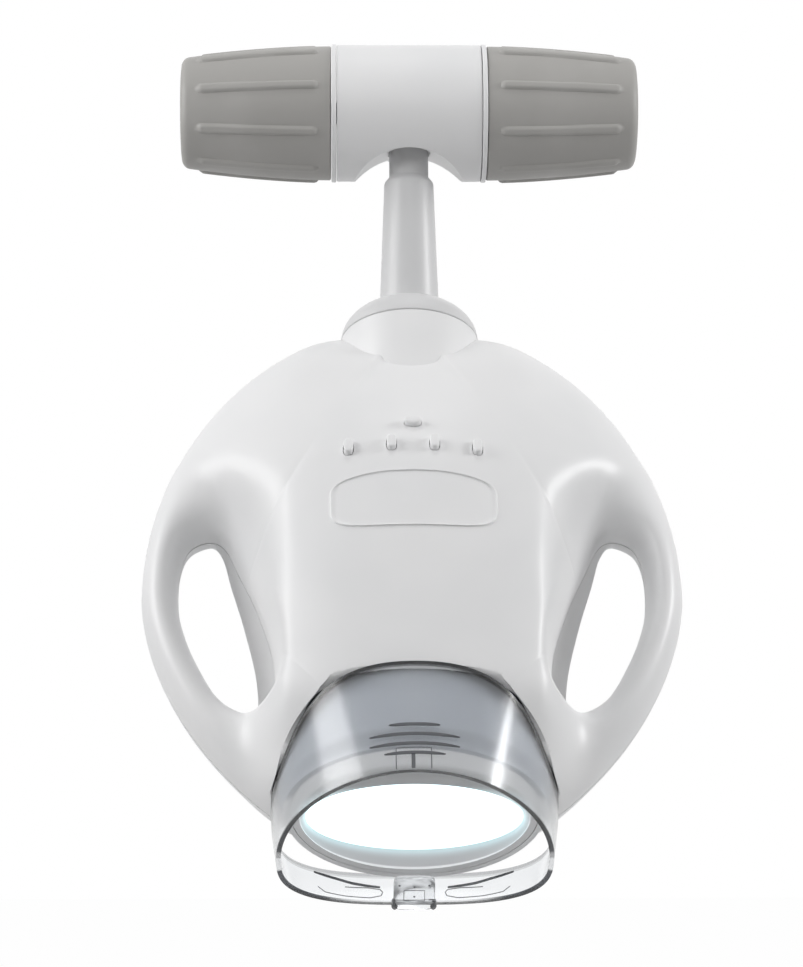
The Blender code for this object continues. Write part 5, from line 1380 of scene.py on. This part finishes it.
def along(corners):
    """Points close together along a line of corners."""
    path = []
    for a, b in zip(corners, corners[1:]):
        count = max(2, math.ceil(math.dist(a, b) / LINE_STEP))
        path += [(a[0] + (b[0] - a[0]) * i / count, a[1] + (b[1] - a[1]) * i / count)
                 for i in range(count)]
    return path + [tuple(corners[-1])]


def moulded_line(name, corners, surface, width, rise, ends):
    """Low ridge along a line on a face, painted dark as shade; its ends narrow to a share of its
    width.
    """
    loops = []
    path = along(corners)
    last = len(path) - 1
    for index, (x, k) in enumerate(path):
        ahead, behind = path[min(index + 1, last)], path[max(index - 1, 0)]
        run = Vector((ahead[0] - behind[0], ahead[1] - behind[1])).normalized()
        near = min(index, last - index) / last * 2
        half = width / 2 * (ends + (1 - ends) * min(near / LINE_FULL_AT, 1) ** 0.5)
        loops.append([(x + side * run.y * half,
                       surface(x + side * run.y * half, k - side * run.x * half) + rise * lift,
                       k - side * run.x * half)
                      for side, lift in ((-1, -LINE_SINK), (-1, LINE_SHOULDER), (0, 1),
                                         (1, LINE_SHOULDER), (1, -LINE_SINK))])
    return stacked(name, loops, OUTLET_WAY, PAINTED_SHADE_ACRYLIC, sharp_deg=SMOOTH_DEG)


def painted_shade_acrylic():
    """Dark acrylic: painted shade for the small steep flanks that hide what lies behind."""
    finish = Finish("acrylic_flanks_painted_shade", (0.10, 0.105, 0.115), 0.2)
    finish.rough(finish.noise(0.002, 2.0) * 0.1 + 0.15)
    return finish.material


PAINTED_SHADE_ACRYLIC = painted_shade_acrylic()
mouldings = [moulded_line(f"grip_rib_{index + 1}", [(-half - RIB_SHIFT, k), (half - RIB_SHIFT, k)],
                          roof, RIB_WIDTH, RIB_RISE, RIB_END)
             for index, (k, half) in enumerate(RIB_PLACES)]
mouldings.append(moulded_line("latch_outline", LATCH, roof, LINE_WIDTH, LINE_RISE, 1))
mouldings.append(moulded_line("latch_post", LATCH_POST, roof, LATCH_POST_WIDTH, LINE_RISE, 1))
for word, side in (("left", -1), ("right", 1)):
    for kind, line, width, rise, ends in (("stop", STOP, STOP_WIDTH, RIB_RISE, STOP_END),
                                          ("pad", PAD, LINE_WIDTH, LINE_RISE, 1)):
        mouldings.append(moulded_line(f"{word}_floor_{kind}", [(side * x, k) for x, k in line],
                                      floor, width, rise, ends))
for moulding in mouldings:
    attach(moulding, "light_guide")


# Clip tab: a clear tongue at the foot of the lip with two small ears. It is moulded with
# the guide and hooks a shade or a film over the mouth.

TAB_HALF_WIDTH = 0.0088
TAB_LOW = -0.0515
TAB_HIGH = -0.0292
TAB_BACK = 0.0092
TAB_FRONT = 0.0116
TAB_CORNER = 0.0022
TAB_SQUARENESS = 6
EAR_REACH = 0.0014
EAR_TOP = -0.0462
EAR_SINK = 0.4
TAB_EDGE = 0.0003
TAB_POINTS = 64
TAB_SHADE = 0.06
WINDOW = ((-0.0044, -0.0370), (0.0044, -0.0370), (0.0044, -0.0445), (-0.0044, -0.0445),
          (-0.0044, -0.0372))
WINDOW_WIDTH = 0.0004
MARKS = ((-0.0063, -0.0335), (0.0063, -0.0335), (0.0, -0.0345), (0.0, -0.0415))
MARK_HALF_LENGTH = 0.0005
MARK_WIDTH = 0.0008
MARK_FOOT = 0.00005
MARK_RISE = 0.0001


def slab(name, half_x, top, corner, finish, middle=0.0):
    """Plate as thick as the tab, from its foot to a height, with rounded corners."""
    centre = (TAB_LOW + top) / 2
    power = 2 + TAB_SQUARENESS * (1 - corner / half_x)
    outline = dee(half_x, top, TAB_LOW, centre, 0, power, power, TAB_POINTS)
    loops = []
    for k, shrink in ((TAB_BACK, TAB_EDGE), (TAB_BACK + TAB_EDGE, 0), (TAB_FRONT - TAB_EDGE, 0),
                      (TAB_FRONT, TAB_EDGE)):
        loops.append([(middle + x * (1 - shrink / half_x),
                       centre + (y - centre) * (1 - shrink / (top - centre)), k)
                      for x, y, _ in outline])
    return stacked(name, loops, OUTLET_WAY, finish, sharp_deg=SMOOTH_DEG)


tab = slab("clip_tab", TAB_HALF_WIDTH, TAB_HIGH, TAB_CORNER, ACRYLIC)
# The tab's front and back loops get a faint painted shade.
tab_edge = [TAB_SHADE] * TAB_POINTS
edge_shaded(tab, tab_edge + [0.0] * (2 * TAB_POINTS) + tab_edge)
tab_parts = [tab]
# The two ears are drawn in the dark acrylic, as painted shade.
for side in (-1, 1):
    tab_parts.append(slab("clip_ear", EAR_REACH, EAR_TOP, EAR_REACH, PAINTED_SHADE_ACRYLIC,
                          side * (TAB_HALF_WIDTH - EAR_REACH * EAR_SINK)))


def flat_line(name, corners, width):
    """Fine moulded line on the tab's face, drawn across and up, painted dark as shade."""
    loops = []
    for index, (x, y) in enumerate(corners):
        a, b = corners[max(index - 1, 0)], corners[min(index + 1, len(corners) - 1)]
        run = Vector((b[0] - a[0], b[1] - a[1])).normalized() * (width / 2)
        foot, crest = TAB_FRONT - MARK_FOOT, TAB_FRONT + MARK_RISE
        loops.append([(x - run.y, y + run.x, foot), (x - run.y, y + run.x, crest),
                      (x + run.y, y - run.x, crest), (x + run.y, y - run.x, foot)])
    return stacked(name, loops, OUTLET_WAY, PAINTED_SHADE_ACRYLIC, sharp_deg=SMOOTH_DEG)


tab_parts.append(flat_line("clip_window", WINDOW, WINDOW_WIDTH))
for x, y in MARKS:
    ends = [(x, y - MARK_HALF_LENGTH), (x, y + MARK_HALF_LENGTH)]
    tab_parts.append(flat_line("clip_mark", ends, MARK_WIDTH))
for part in tab_parts:
    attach(part, "light_guide")


# Studio: a wide pale floor under the hanging lamp, a soft sky and five soft boxes, one of
# them behind. None of it belongs to the lamp.

FLOOR_LEVEL = -1.10
FLOOR_HALF = 6.0
SKY_STRENGTH = 0.19
PAPER_GLOW = 1.04
PAPER_SHARE = 0.94
LAMP_AIM = Vector((0, -0.1, -0.15))
# Each lamp's name, place, width and power.
LAMPS = (("front_box", (-0.2, -2.0, 0.9), 0.8, 8.5),
         ("left_box", (-1.40, -0.45, 0.50), 1.0, 15.5),
         ("right_box", (1.50, -0.30, 0.40), 0.5, 13),
         ("top_box", (0.0, -0.2, 1.5), 0.6, 6),
         ("back_box", (0.3, 1.7, 0.8), 0.9, 7))
SEEN_IN_GLOSS = ("left_box", "right_box")
CAMERA_DISTANCE = 1.572
CAMERA_HEIGHT = -0.171
CAMERA_TURN = math.radians(-0.95)
CAMERA_SIDE = 0.00324
LENS_MM = 126.58
SIGHT = 20


def seen_directly(tree):
    """One for the rays of the camera, glass and gloss, and nothing for the light's own."""
    rays = tree.node("ShaderNodeLightPath").outputs
    camera_ray, glass_ray, gloss_ray = (
        Signal(tree, rays[f"Is {kind} Ray"]) for kind in ("Camera", "Transmission", "Glossy"))
    return camera_ray.higher(glass_ray).higher(gloss_ray)


def floor_white():
    """Pale paper that the camera, glass and gloss see as white, with the lamp's shadow kept."""
    finish = Finish("floor_paper", (0.80, 0.80, 0.80), 0.9)
    glow = finish.node("ShaderNodeEmission", None, {"Color": (1, 1, 1, 1),
                                                      "Strength": PAPER_GLOW})
    both = finish.node("ShaderNodeMixShader", None, {0: seen_directly(finish) * PAPER_SHARE,
                                                     1: finish.shader.outputs[0],
                                                     2: glow.outputs[0]})
    finish.links.new(both.outputs[0], finish.nodes["Material Output"].inputs["Surface"])
    return finish.material


paper = bpy.data.meshes.new("studio_floor")
paper.from_pydata([(x * FLOOR_HALF, y * FLOOR_HALF, FLOOR_LEVEL)
                   for x, y in ((-1, -1), (1, -1), (1, 1), (-1, 1))], [], [(0, 1, 2, 3)])
paper.materials.append(floor_white())
linked("studio_floor", paper)

world = bpy.data.worlds.new("soft_sky")
world.use_nodes = True
bpy.context.scene.world = world
sky = Tree(world.node_tree)
background = sky.nodes["Background"].inputs
background["Color"].default_value = (1, 1, 1, 1)
sky.links.new(seen_directly(sky).higher(SKY_STRENGTH).socket, background["Strength"])

for name, spot, size, power in LAMPS:
    lamp = bpy.data.lights.new(name, "AREA")
    lamp.shape, lamp.size, lamp.energy = "SQUARE", size, power
    holder = linked(name, lamp)
    holder.location = spot
    holder.rotation_euler = (LAMP_AIM - Vector(spot)).to_track_quat("-Z", "Y").to_euler()
    holder.visible_camera = False
    holder.visible_glossy = name in SEEN_IN_GLOSS

eye = bpy.data.cameras.new("camera")
eye.lens = LENS_MM
eye.clip_end = SIGHT
camera = linked("camera", eye)
back = Vector((math.sin(CAMERA_TURN), -math.cos(CAMERA_TURN), 0))
across = Vector((math.cos(CAMERA_TURN), math.sin(CAMERA_TURN), 0))
spot = HUB_AXIS + back * CAMERA_DISTANCE - across * CAMERA_SIDE
spot.z = CAMERA_HEIGHT
camera.location = spot
camera.rotation_euler = (-back).to_track_quat("-Z", "Y").to_euler()
bpy.context.scene.camera = camera
bpy.context.scene.view_settings.view_transform = "Standard"
